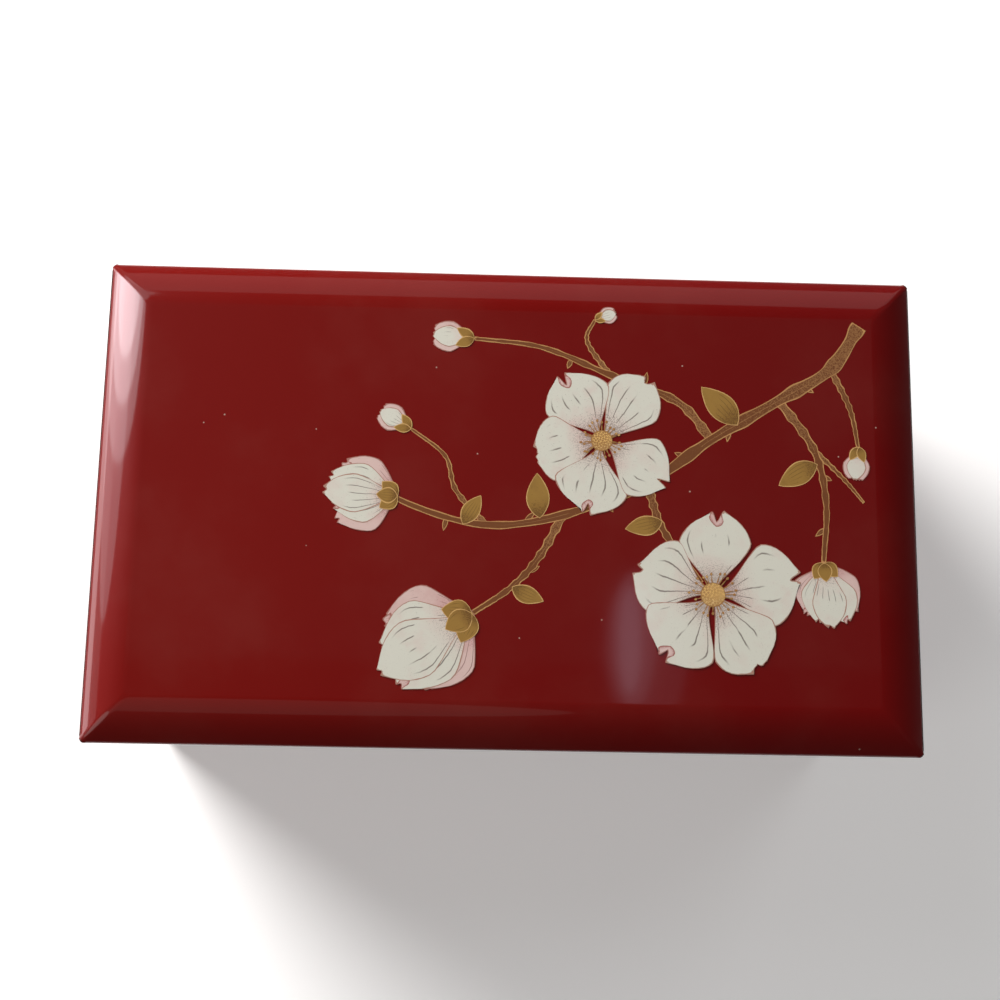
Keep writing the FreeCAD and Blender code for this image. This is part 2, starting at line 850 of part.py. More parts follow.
def music_comb():
    y0 = axis_y - comb_t / 2
    low = shelf_top + comb_low
    treble_z, bass_z = tip_z - treble_len, tip_z - bass_len
    base = slab_y([(comb_x0, low), (comb_x1, low), (comb_x1, treble_z), (comb_x0, bass_z)],
                  y0, y0 + comb_t)
    teeth = []
    for track in range(track_count):
        x = track_x(track)
        share = track / (track_count - 1)
        root = bass_z + share * (treble_z - bass_z) - comb_t
        teeth.append(block(x - tooth_w / 2, x + tooth_w / 2, axis_y - tooth_t / 2, axis_y + tooth_t / 2,
                           root, tip_z))
    holes = [pin_y(comb_screw_r + screw_play, y0, y0 + comb_t, x, z) for x, z in comb_screw_places()]
    return cut(fuse([base] + teeth), holes)


def pin_y(r, y0, y1, x, z):
    return peg(r, r, V(x, y0, z), V(x, y1, z), small_sides)


def screw_y(face, length, head_r, head_t, shank_r, x, z):
    # a screw along Y whose tapered head lies on the face
    head = peg(head_r * head_taper, head_r, V(x, face - head_t, z), V(x, face, z), small_sides)
    return fuse([head, pin_y(shank_r, face, face + length, x, z)])


def comb_screws():
    face = axis_y - comb_t / 2
    return group([screw_y(face, comb_screw_len, comb_head_r, comb_head_t, comb_screw_r, x, z)
                  for x, z in comb_screw_places()])


def plate_screws():
    return group([screw_y(plate_face, plate_t + plate_screw_len - screw_play, plate_head_r, plate_head_t,
                          plate_screw_r, x, z) for x, z in plate_screw_places()])


def frame_screws():
    return group([screw_y(face, in_y - face, small_head_r, small_head_t, small_screw_r, x, z)
                  for x, z, face in [bracket_screw()] + bridge_screws()])


def barrel_bridge():
    z0, z1 = axis_z - bridge_w / 2, axis_z + bridge_w / 2
    y0, y1 = axis_y - bridge_t / 2, axis_y + bridge_t / 2
    arm = block(bridge_x0, bridge_x1, y0, y1, z0, z1)
    post = block(bridge_x1 - bridge_post, bridge_x1, y0, plate_face, z0, z1)
    foot_bar = block(bridge_x1 - bridge_post, bridge_x1, plate_face - bridge_foot_t, plate_face,
                     axis_z - bridge_foot, axis_z + bridge_foot)
    tools = [rod_x(pivot_r + pivot_play, bridge_x0, bridge_x0 + bridge_post + pivot_play, axis_y, axis_z),
             rod_y(arbor_nose_r + pivot_play, axis_y, y1, barrel_x, axis_z)]
    for x, z, face in bridge_screws():
        tools.append(pin_y(small_screw_r + screw_play, face, plate_face, x, z))
    return cut(fuse([arm, post, foot_bar]), tools)


def winding_arbor():
    nose = rod_y(arbor_nose_r, axis_y + pivot_play, barrel_front, barrel_x, axis_z)
    stem = rod_y(arbor_r, axis_y + bridge_t / 2 + arbor_play, half_d + key_seat, barrel_x, axis_z)
    return fuse([nose, stem])


def winding_key():
    z0, z1 = axis_z - key_t / 2, axis_z + key_t / 2
    hub = rod_y(key_hub_r, half_d + key_gap, half_d + key_gap + key_hub_len, barrel_x, axis_z)
    lobe_y = half_d + key_reach - key_lobe
    side = key_span / 2 - key_lobe
    lobes = [rod_z(key_lobe, z0, z1, barrel_x + s * side, lobe_y) for s in (-1, 1)]
    web = block(barrel_x - side, barrel_x + side, lobe_y - key_web_in, lobe_y + key_web_out, z0, z1)
    eyes = [rod_z(key_eye, z0, z1, barrel_x + s * side, lobe_y) for s in (-1, 1)]
    seat = rod_y(arbor_r, half_d, half_d + key_seat, barrel_x, axis_z)
    return cut(fuse([hub, web] + lobes), eyes + [seat])


def bracket_low():
    return worm_z - bracket_ear


def governor_bracket():
    low, step = bracket_low(), worm_z + fan_r + fan_gap
    top = shelf_top + lever_pivot_up + lever_hub_r
    behind = fan_y + fan_w + fan_gap
    high = governor_z + bracket_ear + governor_arbor_r
    corners = [(plate_face, low), (behind, low), (behind, step), (arm_y, step), (arm_y, top),
               (plate_face, top)]
    left = slab_x(corners, bracket_x0, bracket_x0 + bracket_t)
    right = block(bracket_x1 - bracket_t, bracket_x1, governor_y - bracket_ear, plate_face, low, high)
    base = block(bracket_x0, bracket_x1, plate_face - bracket_base_t, plate_face, low, high)
    arm = block(bracket_x0, worm_x + arm_half, arm_y, arm_y + bracket_t,
                worm_z - arm_half, step + bracket_ear)
    stud = rod_x(lever_stud_r, lever_x0 - stud_out, bracket_x0 + bracket_t / 2,
                 in_y - lever_pivot_in, shelf_top + lever_pivot_up)
    tools = [rod_x(pivot_r + pivot_play, bracket_x0, bracket_x0 + bracket_t, axis_y, axis_z),
             rod_x(governor_arbor_r + pivot_play, bracket_x0, bracket_x1, governor_y, governor_z),
             rod_y(governor_arbor_r + pivot_play, arm_y, plate_face, worm_x, worm_z)]
    x, z, face = bracket_screw()
    tools.append(pin_y(small_screw_r + screw_play, face, plate_face, x, z))
    return cut(fuse([left, right, base, arm, stud]), tools)


def bar(start, end, w):
    # a flat bar of the stop lever from one point of the YZ plane to another
    (y0, z0), (y1, z1) = start, end
    length = math.hypot(y1 - y0, z1 - z0)
    dy, dz = (y1 - y0) / length * w / 2, (z1 - z0) / length * w / 2
    points = [(y0 + dz, z0 - dy), (y1 + dz, z1 - dy), (y1 - dz, z1 + dy), (y0 - dz, z0 + dy)]
    return slab_x(points, lever_x0, lever_x0 + lever_t)


def stop_lever():
    pivot = (in_y - lever_pivot_in, shelf_top + lever_pivot_up)
    tip = (pivot[0] - lever_lean, lid_roof - lid_lining_t - lever_top_gap)
    middle = fan_y + fan_w / 2
    hub = rod_x(lever_hub_r, lever_x0, lever_x0 + lever_t, pivot[0], pivot[1])
    arm = bar(pivot, (middle, worm_z + paddle_h / 2), lever_w)
    paddle = bar((middle, worm_z + paddle_h / 2 + lever_w / 2), (middle, worm_z - paddle_h / 2), paddle_w)
    finger = bar(pivot, tip, lever_w)
    hole = rod_x(lever_stud_r + pivot_play, lever_x0, lever_x0 + lever_t, pivot[0], pivot[1])
    return fuse([hub, arm, paddle, finger]).cut(hole)


os.makedirs("parts", exist_ok=True)

save("base_panel", base_panel())
save("base_felt", base_felt())
save("left_wall", side_wall())
save("right_wall", mirrored(side_wall()))
save("back_wall", back_wall())
save("front_rail", front_rail())
save("tray_shelf", tray_shelf())
save("drawer_stop", stop_block())
for side, sign in (("left", -1), ("right", 1)):
    save("hinge_case_leaf_" + side, case_leaf(sign * hinge_x))
    save("hinge_lid_leaf_" + side, lid_leaf(sign * hinge_x))
    save("hinge_pin_" + side, hinge_pin(sign * hinge_x))
save("hinge_case_screws", leaf_screws(case_top - leaf_sink, -1))
save("hinge_lid_screws", leaf_screws(lid_low + leaf_sink, 1))
save("lid_shell", lid_shell())
save("lid_lining", lid_lining())
save("mirror", mirror())
save("tray_lining", tray_lining())
save("tray_floor", tray_floor())
for name, place in divider_places().items():
    save(name, divider(*place))
for index in range(roll_count):
    save("ring_roll_" + str(index + 1), ring_roll(index))
save("cover_front", cover_front())
save("cover_side", cover_side())
save("cover_top", cover_top())
save("drawer_front", drawer_front())
save("drawer_left", drawer_side())
save("drawer_right", mirrored(drawer_side()))
save("drawer_back", drawer_back())
save("drawer_bottom", drawer_bottom())
save("drawer_lining", drawer_lining())
save("movement_plate", movement_plate())
save("music_comb", music_comb())
save("comb_screws", comb_screws())
save("plate_screws", plate_screws())
save("frame_screws", frame_screws())
save("music_cylinder", music_cylinder())
save("cylinder_gear", cylinder_gear())
save("cylinder_pinion", cylinder_pinion())
save("spring_barrel", spring_barrel())
save("barrel_bridge", barrel_bridge())
save("winding_arbor", winding_arbor())
save("winding_key", winding_key())
save("governor_bracket", governor_bracket())
save("governor_wheel", governor_wheel())
save("governor_fan", governor_fan())
save("stop_lever", stop_lever())
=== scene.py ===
import itertools
import math
import random

import bmesh
import bpy
from mathutils import Matrix, Vector, noise


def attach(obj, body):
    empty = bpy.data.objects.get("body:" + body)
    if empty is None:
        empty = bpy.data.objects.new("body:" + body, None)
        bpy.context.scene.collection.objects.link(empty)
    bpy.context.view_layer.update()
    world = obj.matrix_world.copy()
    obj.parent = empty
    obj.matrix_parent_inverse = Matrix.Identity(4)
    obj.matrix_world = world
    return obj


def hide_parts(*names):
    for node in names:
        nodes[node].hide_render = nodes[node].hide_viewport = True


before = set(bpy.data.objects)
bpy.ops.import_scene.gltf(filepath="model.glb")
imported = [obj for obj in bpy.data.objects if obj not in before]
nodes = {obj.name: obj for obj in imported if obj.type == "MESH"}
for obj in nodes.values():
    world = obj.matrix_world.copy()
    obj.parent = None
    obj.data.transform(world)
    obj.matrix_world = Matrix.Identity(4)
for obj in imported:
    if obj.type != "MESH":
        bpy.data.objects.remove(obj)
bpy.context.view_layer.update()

mm = 0.001
dice = random.Random(18)
print("frame loaded:", len(nodes), "nodes")


# small helpers

def placed(x, y, z):
    return Vector((x * mm, y * mm, z * mm))


def onlyVerts(geometry):
    return [g for g in geometry if isinstance(g, bmesh.types.BMVert)]


def onlyEdges(geometry):
    return [g for g in geometry if isinstance(g, bmesh.types.BMEdge)]


def roundEdges(bm, edges, size, segments):
    bmesh.ops.bevel(bm, geom=edges, offset=size * mm, offset_type="OFFSET", segments=segments, profile=0.5,
                    affect="EDGES", material=-1)


def addBlock(bm, low, high, soft=0.0, segments=2):
    # a block between two corners in mm, its edges rounded by soft
    size = [(high[i] - low[i]) * mm for i in range(3)]
    middle = [(high[i] + low[i]) / 2 * mm for i in range(3)]
    matrix = Matrix.Translation(middle) @ Matrix.Diagonal((*size, 1.0))
    made = bmesh.ops.create_cube(bm, size=1.0, matrix=matrix)["verts"]
    if soft:
        roundEdges(bm, list({e for v in made for e in v.link_edges}), soft, segments)


def climb(edge):
    # the height in mm between an edge's ends
    return abs(edge.verts[0].co.z - edge.verts[1].co.z) / mm


def meshFrom(name, bm):
    mesh = bpy.data.meshes.new(name)
    bm.to_mesh(mesh)
    bm.free()
    return mesh


def addObject(name, data):
    added = bpy.data.objects.new(name, data)
    bpy.context.scene.collection.objects.link(added)
    return added


def makePiece(name, bm, material, body, replaced=(), sharp=35.0):
    # a finished piece: outward normals, smooth faces with sharp edges kept, one material
    bmesh.ops.recalc_face_normals(bm, faces=bm.faces)
    for face in bm.faces:
        face.smooth = True
    for edge in bm.edges:
        edge.smooth = edge.calc_face_angle(0.0) < math.radians(sharp)
    piece = addObject(name, meshFrom(name, bm))
    piece.data.materials.append(material)
    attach(piece, body)
    if replaced:
        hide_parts(*replaced)
    return piece


def setShader(shader, **values):
    # plain values for a shader's sockets, whose names are written with underscores
    for label, value in values.items():
        shader.inputs[label.replace("_", " ")].default_value = value


# camera, lights and floor

cameraView = {"lens": 46.8, "film": 36.0, "near": 0.01, "place": (-10.2, -56.5, 431.1),
              "right": (0.9995, 0.0223, 0.0261), "up": (-0.0186, 0.9855, 0.1682),
              "back": (-0.0233, -0.1688, 0.9854)}


def stand(thing, place, right, up, back):
    # sets a camera or lamp at a place in mm, with its own axes
    turn = Matrix((right, up, back)).transposed()
    thing.matrix_world = Matrix.Translation(placed(*place)) @ turn.to_4x4()


def makeCamera():
    data = bpy.data.cameras.new("photoCamera")
    data.lens, data.sensor_width, data.clip_start = (cameraView[key] for key in ("lens", "film", "near"))
    camera = addObject("photoCamera", data)
    stand(camera, *(cameraView[key] for key in ("place", "right", "up", "back")))
    bpy.context.scene.camera = camera


softLights = {  # place, aim, size across and along y in mm, outline, then the panel's brightness and colour
    "windowCore": ((-1080, 480, 800), (-100, 60, 95), (800, 250), "ELLIPSE", 7.0, (1.0, 0.94, 0.985)),
    "windowLeft": ((-1085, 472, 800), (-100, 60, 95), (1050, 340), "ELLIPSE", 5.5, (1.0, 0.94, 0.985)),
    "windowEdge": ((-1090, 455, 800), (-100, 60, 95), (1250, 440), "ELLIPSE", 3.5, (1.0, 0.93, 0.98)),
    "windowFade": ((-1165, 370, 680), (-100, 40, 95), (760, 640), "ELLIPSE", 2.4, (1.0, 0.9, 0.95)),
    "stripLeft": ((-1300, -60, 330), (-100, 0, 95), (200, 1500), "RECTANGLE", 4.6, (1.0, 0.84, 0.86)),
    "stripSoft": ((-1300, 40, 480), (-100, 0, 95), (480, 1500), "RECTANGLE", 0.9, (1.0, 0.88, 0.88)),
    "keyLow": ((-1010, 1010, 620), (0, 0, 60), (900, 900), "ELLIPSE", 23.0, (1.0, 0.97, 0.95)),
    "keyFrontLeft": ((-1000, -640, 1130), (0, 0, 60), (800, 800), "ELLIPSE", 1.7, (1.0, 0.98, 0.95)),
    "keyFrontRight": ((1000, -640, 1130), (0, 0, 60), (800, 800), "ELLIPSE", 1.4, (1.0, 0.98, 0.95)),
    "keyBackLeft": ((-790, 880, 1130), (0, 0, 60), (800, 800), "ELLIPSE", 1.8, (0.98, 0.98, 1.0)),
    "keyBackRight": ((860, 880, 1130), (0, 0, 60), (800, 800), "ELLIPSE", 1.5, (0.98, 0.98, 1.0)),
    "panelBack": ((0, 1300, 850), (0, 60, 95), (1900, 800), "RECTANGLE", 0.62, (1.0, 0.94, 0.92)),
    "panelFront": ((-470, -620, 2050), (-470, -620, 0), (1300, 800), "ELLIPSE", 0.34, (1.0, 0.82, 0.74)),
    "ceiling": ((0, 500, 2100), (0, 500, 0), (1900, 900), "RECTANGLE", 0.07, (1.0, 0.86, 0.8)),
    "ceilingSoft": ((0, 470, 2110), (0, 470, 0), (1900, 1000), "RECTANGLE", 0.04, (1.0, 0.86, 0.8)),
    "glow": ((280, 92, 2080), (280, 92, 0), (40, 190), "ELLIPSE", 1.2, (0.86, 0.8, 1.0)),
    "glowWide": ((286, 92, 2085), (286, 92, 0), (78, 240), "ELLIPSE", 0.75, (0.88, 0.8, 1.0)),
    "glowHalo": ((310, 80, 2090), (310, 80, 0), (150, 290), "ELLIPSE", 0.4, (0.9, 0.8, 0.98)),
}
mirroredOnly = ("windowCore", "windowLeft", "windowEdge", "windowFade", "stripLeft", "stripSoft", "panelBack",
                "panelFront")
scatteredOnly = ("keyLow", "keyFrontRight", "keyBackRight")
roomLook = {"colour": (1.0, 0.97, 0.95, 1.0), "strength": 0.06}


def makeLights():
    for name, (place, aim, size, outline, brightness, colour) in softLights.items():
        data = bpy.data.lights.new(name, "AREA")
        data.shape = outline
        data.size, data.size_y = size[0] * mm, size[1] * mm
        area = data.size * data.size_y * (math.pi / 4 if outline == "ELLIPSE" else 1.0)
        data.energy = brightness * math.pi * area
        data.color = colour
        light = addObject(name, data)
        back = (placed(*place) - placed(*aim)).normalized()
        across = Vector((0.0, 1.0, 0.0)).cross(back).normalized()
        stand(light, place, across, back.cross(across), back)
        light.visible_diffuse = name not in mirroredOnly
        light.visible_glossy = name not in scatteredOnly
    world = bpy.data.worlds.new("softRoom")
    world.use_nodes = True
    setShader(world.node_tree.nodes["Background"], Color=roomLook["colour"], Strength=roomLook["strength"])
    bpy.context.scene.world = world
    bpy.context.scene.view_settings.view_transform = "Standard"


floorLook = {"half": 4.0, "drop": 0.02, "paper": (0.93, 0.93, 0.93, 1.0), "rough": 0.9, "shine": 0.1,
             "glow": (1.0, 0.99, 0.98, 1.0), "glowStrength": 0.26}


def makeFloor():
    bm = bmesh.new()
    bmesh.ops.create_grid(bm, x_segments=1, y_segments=1, size=floorLook["half"])
    floor = addObject("studioFloor", meshFrom("studioFloor", bm))
    floor.location.z = -floorLook["drop"] * mm
    paper = bpy.data.materials.new("palePaper")
    paper.use_nodes = True
    setShader(paper.node_tree.nodes["Principled BSDF"], Base_Color=floorLook["paper"],
              Roughness=floorLook["rough"], Specular_IOR_Level=floorLook["shine"],
              Emission_Color=floorLook["glow"], Emission_Strength=floorLook["glowStrength"])
    floor.data.materials.append(paper)


makeCamera()
makeLights()
makeFloor()
print("camera, lights and floor made")


# shader helpers

def newTree(name, inputs, outputs):
    # a shared effect as a node group, its inputs given as names and kinds, its outputs all numbers
    tree = bpy.data.node_groups.new(name, "ShaderNodeTree")
    for label, kind in inputs.items():
        tree.interface.new_socket(label, in_out="INPUT", socket_type="NodeSocket" + kind)
    for label in outputs:
        tree.interface.new_socket(label, in_out="OUTPUT", socket_type="NodeSocketFloat")
    return tree, tree.nodes.new("NodeGroupInput").outputs, tree.nodes.new("NodeGroupOutput")


def feed(tree, value, socket):
    # a link or a plain value into a socket
    if isinstance(value, bpy.types.NodeSocket):
        tree.links.new(value, socket)
    else:
        socket.default_value = value


def link(tree, output, node, label):
    tree.links.new(output, node.inputs[label])


def addNode(tree, kind, settings=None, **sockets):
    # a node with its settings, its sockets by name or as i and a number
    node = tree.nodes.new("ShaderNode" + kind)
    for label, value in (settings or {}).items():
        setattr(node, label, value)
    for label, value in sockets.items():
        feed(tree, value, node.inputs[int(label[1:]) if label[1:].isdigit() else label.replace("_", " ")])
    return node


def maths(tree, operation, first, second=0.0, third=0.0):
    return addNode(tree, "Math", {"operation": operation}, i0=first, i1=second, i2=third).outputs[0]


def times(tree, first, second):
    return maths(tree, "MULTIPLY", first, second)


def timesPlus(tree, first, factor, extra):
    return maths(tree, "MULTIPLY_ADD", first, factor, extra)


def clouds(tree, place, scale, detail=2.0, roughness=0.5, distortion=0.0):
    return addNode(tree, "TexNoise", None, Vector=place, Scale=scale, Detail=detail, Roughness=roughness,
                   Distortion=distortion).outputs["Fac"]


def spread(tree, value, low, high, newLow=0.0, newHigh=1.0):
    # a value's range stretched to a new one, smoothly and clamped
    settings = {"interpolation_type": "SMOOTHSTEP"}
    return addNode(tree, "MapRange", settings, Value=value, From_Min=low, From_Max=high, To_Min=newLow,
                   To_Max=newHigh).outputs["Result"]


def mixed(tree, amount, first, second):
    # two colours mixed, each a link or three numbers
    first, second = (colour if isinstance(colour, bpy.types.NodeSocket) else (*colour, 1.0)
                     for colour in (first, second))
    return addNode(tree, "Mix", {"data_type": "RGBA"}, i0=amount, i6=first, i7=second).outputs[2]


def bumped(tree, height, strength, distance, settings=None, **more):
    return addNode(tree, "Bump", settings, Height=height, Strength=strength, Distance=distance,
                   **more).outputs["Normal"]


def startMaterial(name):
    material = bpy.data.materials.new(name)
    material.use_nodes = True
    tree = material.node_tree
    place = tree.nodes.new("ShaderNodeTexCoord").outputs["Object"]
    return material, tree, tree.nodes["Principled BSDF"], place


def useGroup(tree, group, **sockets):
    node = tree.nodes.new("ShaderNodeGroup")
    node.node_tree = group
    for label, value in sockets.items():
        feed(tree, value, node.inputs[label])
    return node.outputs


# shared effects

dustLook = {"cells": 120.0, "core": 0.018, "rim": 0.034, "share": 0.35, "smears": 22.0}


def makeDustGroup():
    # sparse dust specks and faint smears
    tree, start, end = newTree("dustAndSmears", {"Place": "Vector", "Density": "Float"}, ("Specks", "Smears"))
    cells = addNode(tree, "TexVoronoi", {"feature": "F1"}, Vector=start["Place"], Scale=dustLook["cells"],
                    Randomness=1.0)
    near = spread(tree, cells.outputs["Distance"], dustLook["core"], dustLook["rim"], 1.0, 0.0)
    chosen = maths(tree, "GREATER_THAN", cells.outputs["Color"], dustLook["share"])
    link(tree, times(tree, times(tree, near, chosen), start["Density"]), end, "Specks")
    smears = clouds(tree, start["Place"], dustLook["smears"], 5.0, 0.6)
    link(tree, spread(tree, smears, 0.42, 0.72), end, "Smears")
    return tree


pileLook = {"nap": 2600.0, "clumps": 420.0, "brushed": 26.0, "clumpShare": 0.6, "napShare": 0.4}


def makePileGroup():
    # short velvet pile: fine nap, brushed patches and its height
    inputs = {"Place": "Vector", "Fineness": "Float"}
    tree, start, end = newTree("velvetPile", inputs, ("Nap", "Patches", "Height"))
    fine = addNode(tree, "VectorMath", {"operation": "SCALE"}, i0=start["Place"], Scale=start["Fineness"])
    nap = clouds(tree, fine.outputs[0], pileLook["nap"], 2.0, 0.7)
    clumps = clouds(tree, fine.outputs[0], pileLook["clumps"], 3.0, 0.6)
    brushed = clouds(tree, start["Place"], pileLook["brushed"], 2.5, 0.5, 0.6)
    link(tree, nap, end, "Nap")
    link(tree, spread(tree, brushed, 0.35, 0.68), end, "Patches")
    height = timesPlus(tree, clumps, pileLook["clumpShare"], times(tree, nap, pileLook["napShare"]))
    link(tree, height, end, "Height")
    return tree


grainLook = {"rings": 2.2, "pores": 17.0}


def makeGrainGroup():
    # straight wood grain with pores, drawn out along the axis whose stretch is small
    tree, start, end = newTree("woodGrain", {"Place": "Vector", "Stretch": "Vector"}, ("Rings", "Pores"))
    bent = addNode(tree, "VectorMath", {"operation": "MULTIPLY"}, i0=start["Place"], i1=start["Stretch"])
    rings = clouds(tree, bent.outputs[0], grainLook["rings"], 5.0, 0.62, 0.4)
    pores = clouds(tree, bent.outputs[0], grainLook["pores"])
    link(tree, spread(tree, rings, 0.36, 0.66), end, "Rings")
    link(tree, spread(tree, pores, 0.58, 0.7), end, "Pores")
    return tree


brushLook = {"lines": 700.0, "blotches": 60.0}


def makeBrushGroup():
    # fine brushing lines with blotches of tarnish or handling
    tree, start, end = newTree("metalFinish", {"Place": "Vector", "Along": "Vector"}, ("Lines", "Blotches"))
    drawn = addNode(tree, "VectorMath", {"operation": "MULTIPLY"}, i0=start["Place"], i1=start["Along"])
    link(tree, clouds(tree, drawn.outputs[0], brushLook["lines"]), end, "Lines")
    blotches = clouds(tree, start["Place"], brushLook["blotches"], 3.0)
    link(tree, spread(tree, blotches, 0.4, 0.7), end, "Blotches")
    return tree


inkLook = {"wobble": 260.0, "wobbleShare": 0.5, "line": (0.16, 0.3), "vein": (0.03, 0.075), "dash": 120.0,
           "grains": 3800.0, "shade": 0.3, "grainEdge": (0.68, 0.8)}


def makeInkGroup():
    # drawn lines of a printed shape: its outline, dashed veins and stippled shade towards the root
    inputs = {"Across": "Float", "Along": "Float", "Margin": "Float", "Place": "Vector", "Veins": "Float"}
    tree, start, end = newTree("inkLines", inputs, ("Outline", "Vein", "Stipple"))
    along, place = start["Along"], start["Place"]
    share = inkLook["wobbleShare"]
    shift = timesPlus(tree, clouds(tree, place, inkLook["wobble"]), share, -share / 2)
    outline = spread(tree, maths(tree, "ADD", start["Margin"], shift), *inkLook["line"], 1.0, 0.0)
    link(tree, outline, end, "Outline")
    bent = timesPlus(tree, start["Across"], start["Veins"], times(tree, shift, 0.5))
    saw = maths(tree, "FRACT", maths(tree, "ADD", bent, 0.5))
    ridge = maths(tree, "ABSOLUTE", maths(tree, "SUBTRACT", saw, 0.5))
    dashes = spread(tree, clouds(tree, place, inkLook["dash"], 1.0), 0.44, 0.5)
    middle = times(tree, spread(tree, along, 0.12, 0.22), spread(tree, along, 0.62, 0.78, 1.0, 0.0))
    vein = spread(tree, ridge, *inkLook["vein"], 1.0, 0.0)
    link(tree, times(tree, vein, times(tree, dashes, middle)), end, "Vein")
    grains = clouds(tree, place, inkLook["grains"], 1.0)
    shaded = maths(tree, "ADD", grains, times(tree, spread(tree, along, 0.5, 0.08), inkLook["shade"]))
    link(tree, spread(tree, shaded, *inkLook["grainEdge"]), end, "Stipple")
    return tree


dustAndSmears = makeDustGroup()
velvetPile = makePileGroup()
woodGrain = makeGrainGroup()
metalFinish = makeBrushGroup()
inkLines = makeInkGroup()


# finishes of the box

# the lacquer's darker and lighter reds: they drift at random, and also give painted shade towards +x and
# painted light towards -x
lacquerLook = {"deep": (0.118, 0.0007, 0.0011), "warmAndPaintedLit": (0.17, 0.0035, 0.0018), "smear": (0.5, 0.25, 0.18),
               "speck": (0.55, 0.4, 0.33), "drift": 7.0, "dust": 0.7, "smeared": 0.018, "rough": (0.3, 0.38),
               "orangePeel": 240.0, "round": 0.35}


def makeLacquer():
    material, tree, shader, place = startMaterial("redLacquer")
    drift = clouds(tree, place, lacquerLook["drift"])
    # the red drifts at random and is painted lighter towards the left (-x) and darker towards the right:
    # painted light from the left and painted shade on the right, on every lacquered part
    side = addNode(tree, "SeparateXYZ", None, Vector=place).outputs["X"]
    warmAndPaintedLit = timesPlus(tree, spread(tree, side, 0.11, -0.11), 0.7, times(tree, drift, 0.4))
    dust = useGroup(tree, dustAndSmears, Place=place, Density=lacquerLook["dust"])
    colour = mixed(tree, warmAndPaintedLit, lacquerLook["deep"], lacquerLook["warmAndPaintedLit"])
    colour = mixed(tree, times(tree, dust["Smears"], lacquerLook["smeared"]), colour, lacquerLook["smear"])
    link(tree, mixed(tree, dust["Specks"], colour, lacquerLook["speck"]), shader, "Base Color")
    link(tree, spread(tree, dust["Smears"], 0.0, 1.0, *lacquerLook["rough"]), shader, "Roughness")
    edge = addNode(tree, "Bevel", {"samples": 6}, Radius=lacquerLook["round"] * mm).outputs["Normal"]
    peel = clouds(tree, place, lacquerLook["orangePeel"], 1.0, 0.4)
    link(tree, bumped(tree, peel, 0.012, 0.0004, Normal=edge), shader, "Normal")
    link(tree, edge, shader, "Coat Normal")
    setShader(shader, Coat_Weight=1.0, Coat_Roughness=0.05, Coat_IOR=1.4, IOR=1.45, Specular_IOR_Level=0.12)
    return material


woodLook = {"light": (0.22, 0.075, 0.032), "dark": (0.1, 0.026, 0.013), "pore": (0.045, 0.012, 0.008),
            "rough": (0.42, 0.56)}


def makeInnerWood(name, stretch):
    material, tree, shader, place = startMaterial(name)
    grain = useGroup(tree, woodGrain, Place=place, Stretch=stretch)
    colour = mixed(tree, grain["Rings"], woodLook["light"], woodLook["dark"])
    link(tree, mixed(tree, grain["Pores"], colour, woodLook["pore"]), shader, "Base Color")
    link(tree, spread(tree, grain["Rings"], 0.0, 1.0, *woodLook["rough"]), shader, "Roughness")
    link(tree, bumped(tree, grain["Pores"], 0.25, 0.0002, {"invert": True}), shader, "Normal")
    return material


velvetLook = {"low": (0.21, 0.006, 0.018), "high": (0.57, 0.022, 0.052), "sheen": (1.0, 0.4, 0.44, 1.0)}
feltLook = {"low": (0.012, 0.011, 0.012), "high": (0.045, 0.042, 0.045), "sheen": (0.5, 0.5, 0.52, 1.0)}


def makeVelvet(name, fineness, look):
    material, tree, shader, place = startMaterial(name)
    pile = useGroup(tree, velvetPile, Place=place, Fineness=fineness)
    amount = timesPlus(tree, pile["Nap"], 0.5, times(tree, pile["Patches"], 0.45))
    link(tree, mixed(tree, amount, look["low"], look["high"]), shader, "Base Color")
    link(tree, bumped(tree, pile["Height"], 0.45, 0.0004), shader, "Normal")
    setShader(shader, Roughness=0.95, Specular_IOR_Level=0.1, Sheen_Weight=1.0, Sheen_Roughness=0.4,
              Sheen_Tint=look["sheen"])
    return material


metalLooks = {
    "polishedBrass": {"clean": (0.86, 0.64, 0.3), "dull": (0.66, 0.45, 0.18), "rough": (0.28, 0.36),
                      "along": (1, 1, 1)},
    "groundSteel": {"clean": (0.66, 0.66, 0.68), "dull": (0.46, 0.45, 0.46), "rough": (0.3, 0.42),
                    "along": (1, 6, 0.3)},
}


def makeMetal(name):
    look = metalLooks[name]
    material, tree, shader, place = startMaterial(name)
    finish = useGroup(tree, metalFinish, Place=place, Along=look["along"])
    link(tree, mixed(tree, finish["Blotches"], look["clean"], look["dull"]), shader, "Base Color")
    link(tree, spread(tree, finish["Lines"], 0.3, 0.7, *look["rough"]), shader, "Roughness")
    setShader(shader, Metallic=1.0)
    return material


glassLooks = {  # body, specks, how dense they are, roughness where clean and smeared
    "silveredGlass": {"body": (0.88, 0.9, 0.91), "speck": (0.6, 0.58, 0.55), "density": 0.4,
                      "rough": (0.01, 0.05)},
    "clearCover": {"body": (0.99, 0.995, 1.0), "speck": (0.8, 0.78, 0.75), "density": 0.8,
                   "rough": (0.02, 0.09)},
}


def makeGlass(name, **values):
    look = glassLooks[name]
    material, tree, shader, place = startMaterial(name)
    dust = useGroup(tree, dustAndSmears, Place=place, Density=look["density"])
    link(tree, mixed(tree, dust["Specks"], look["body"], look["speck"]), shader, "Base Color")
    link(tree, spread(tree, dust["Smears"], 0.0, 1.0, *look["rough"]), shader, "Roughness")
    setShader(shader, **values)
    return material


plasticLook = {"low": (0.02, 0.02, 0.022), "high": (0.06, 0.06, 0.065), "grain": 1500.0,
               "rough": (0.4, 0.6)}


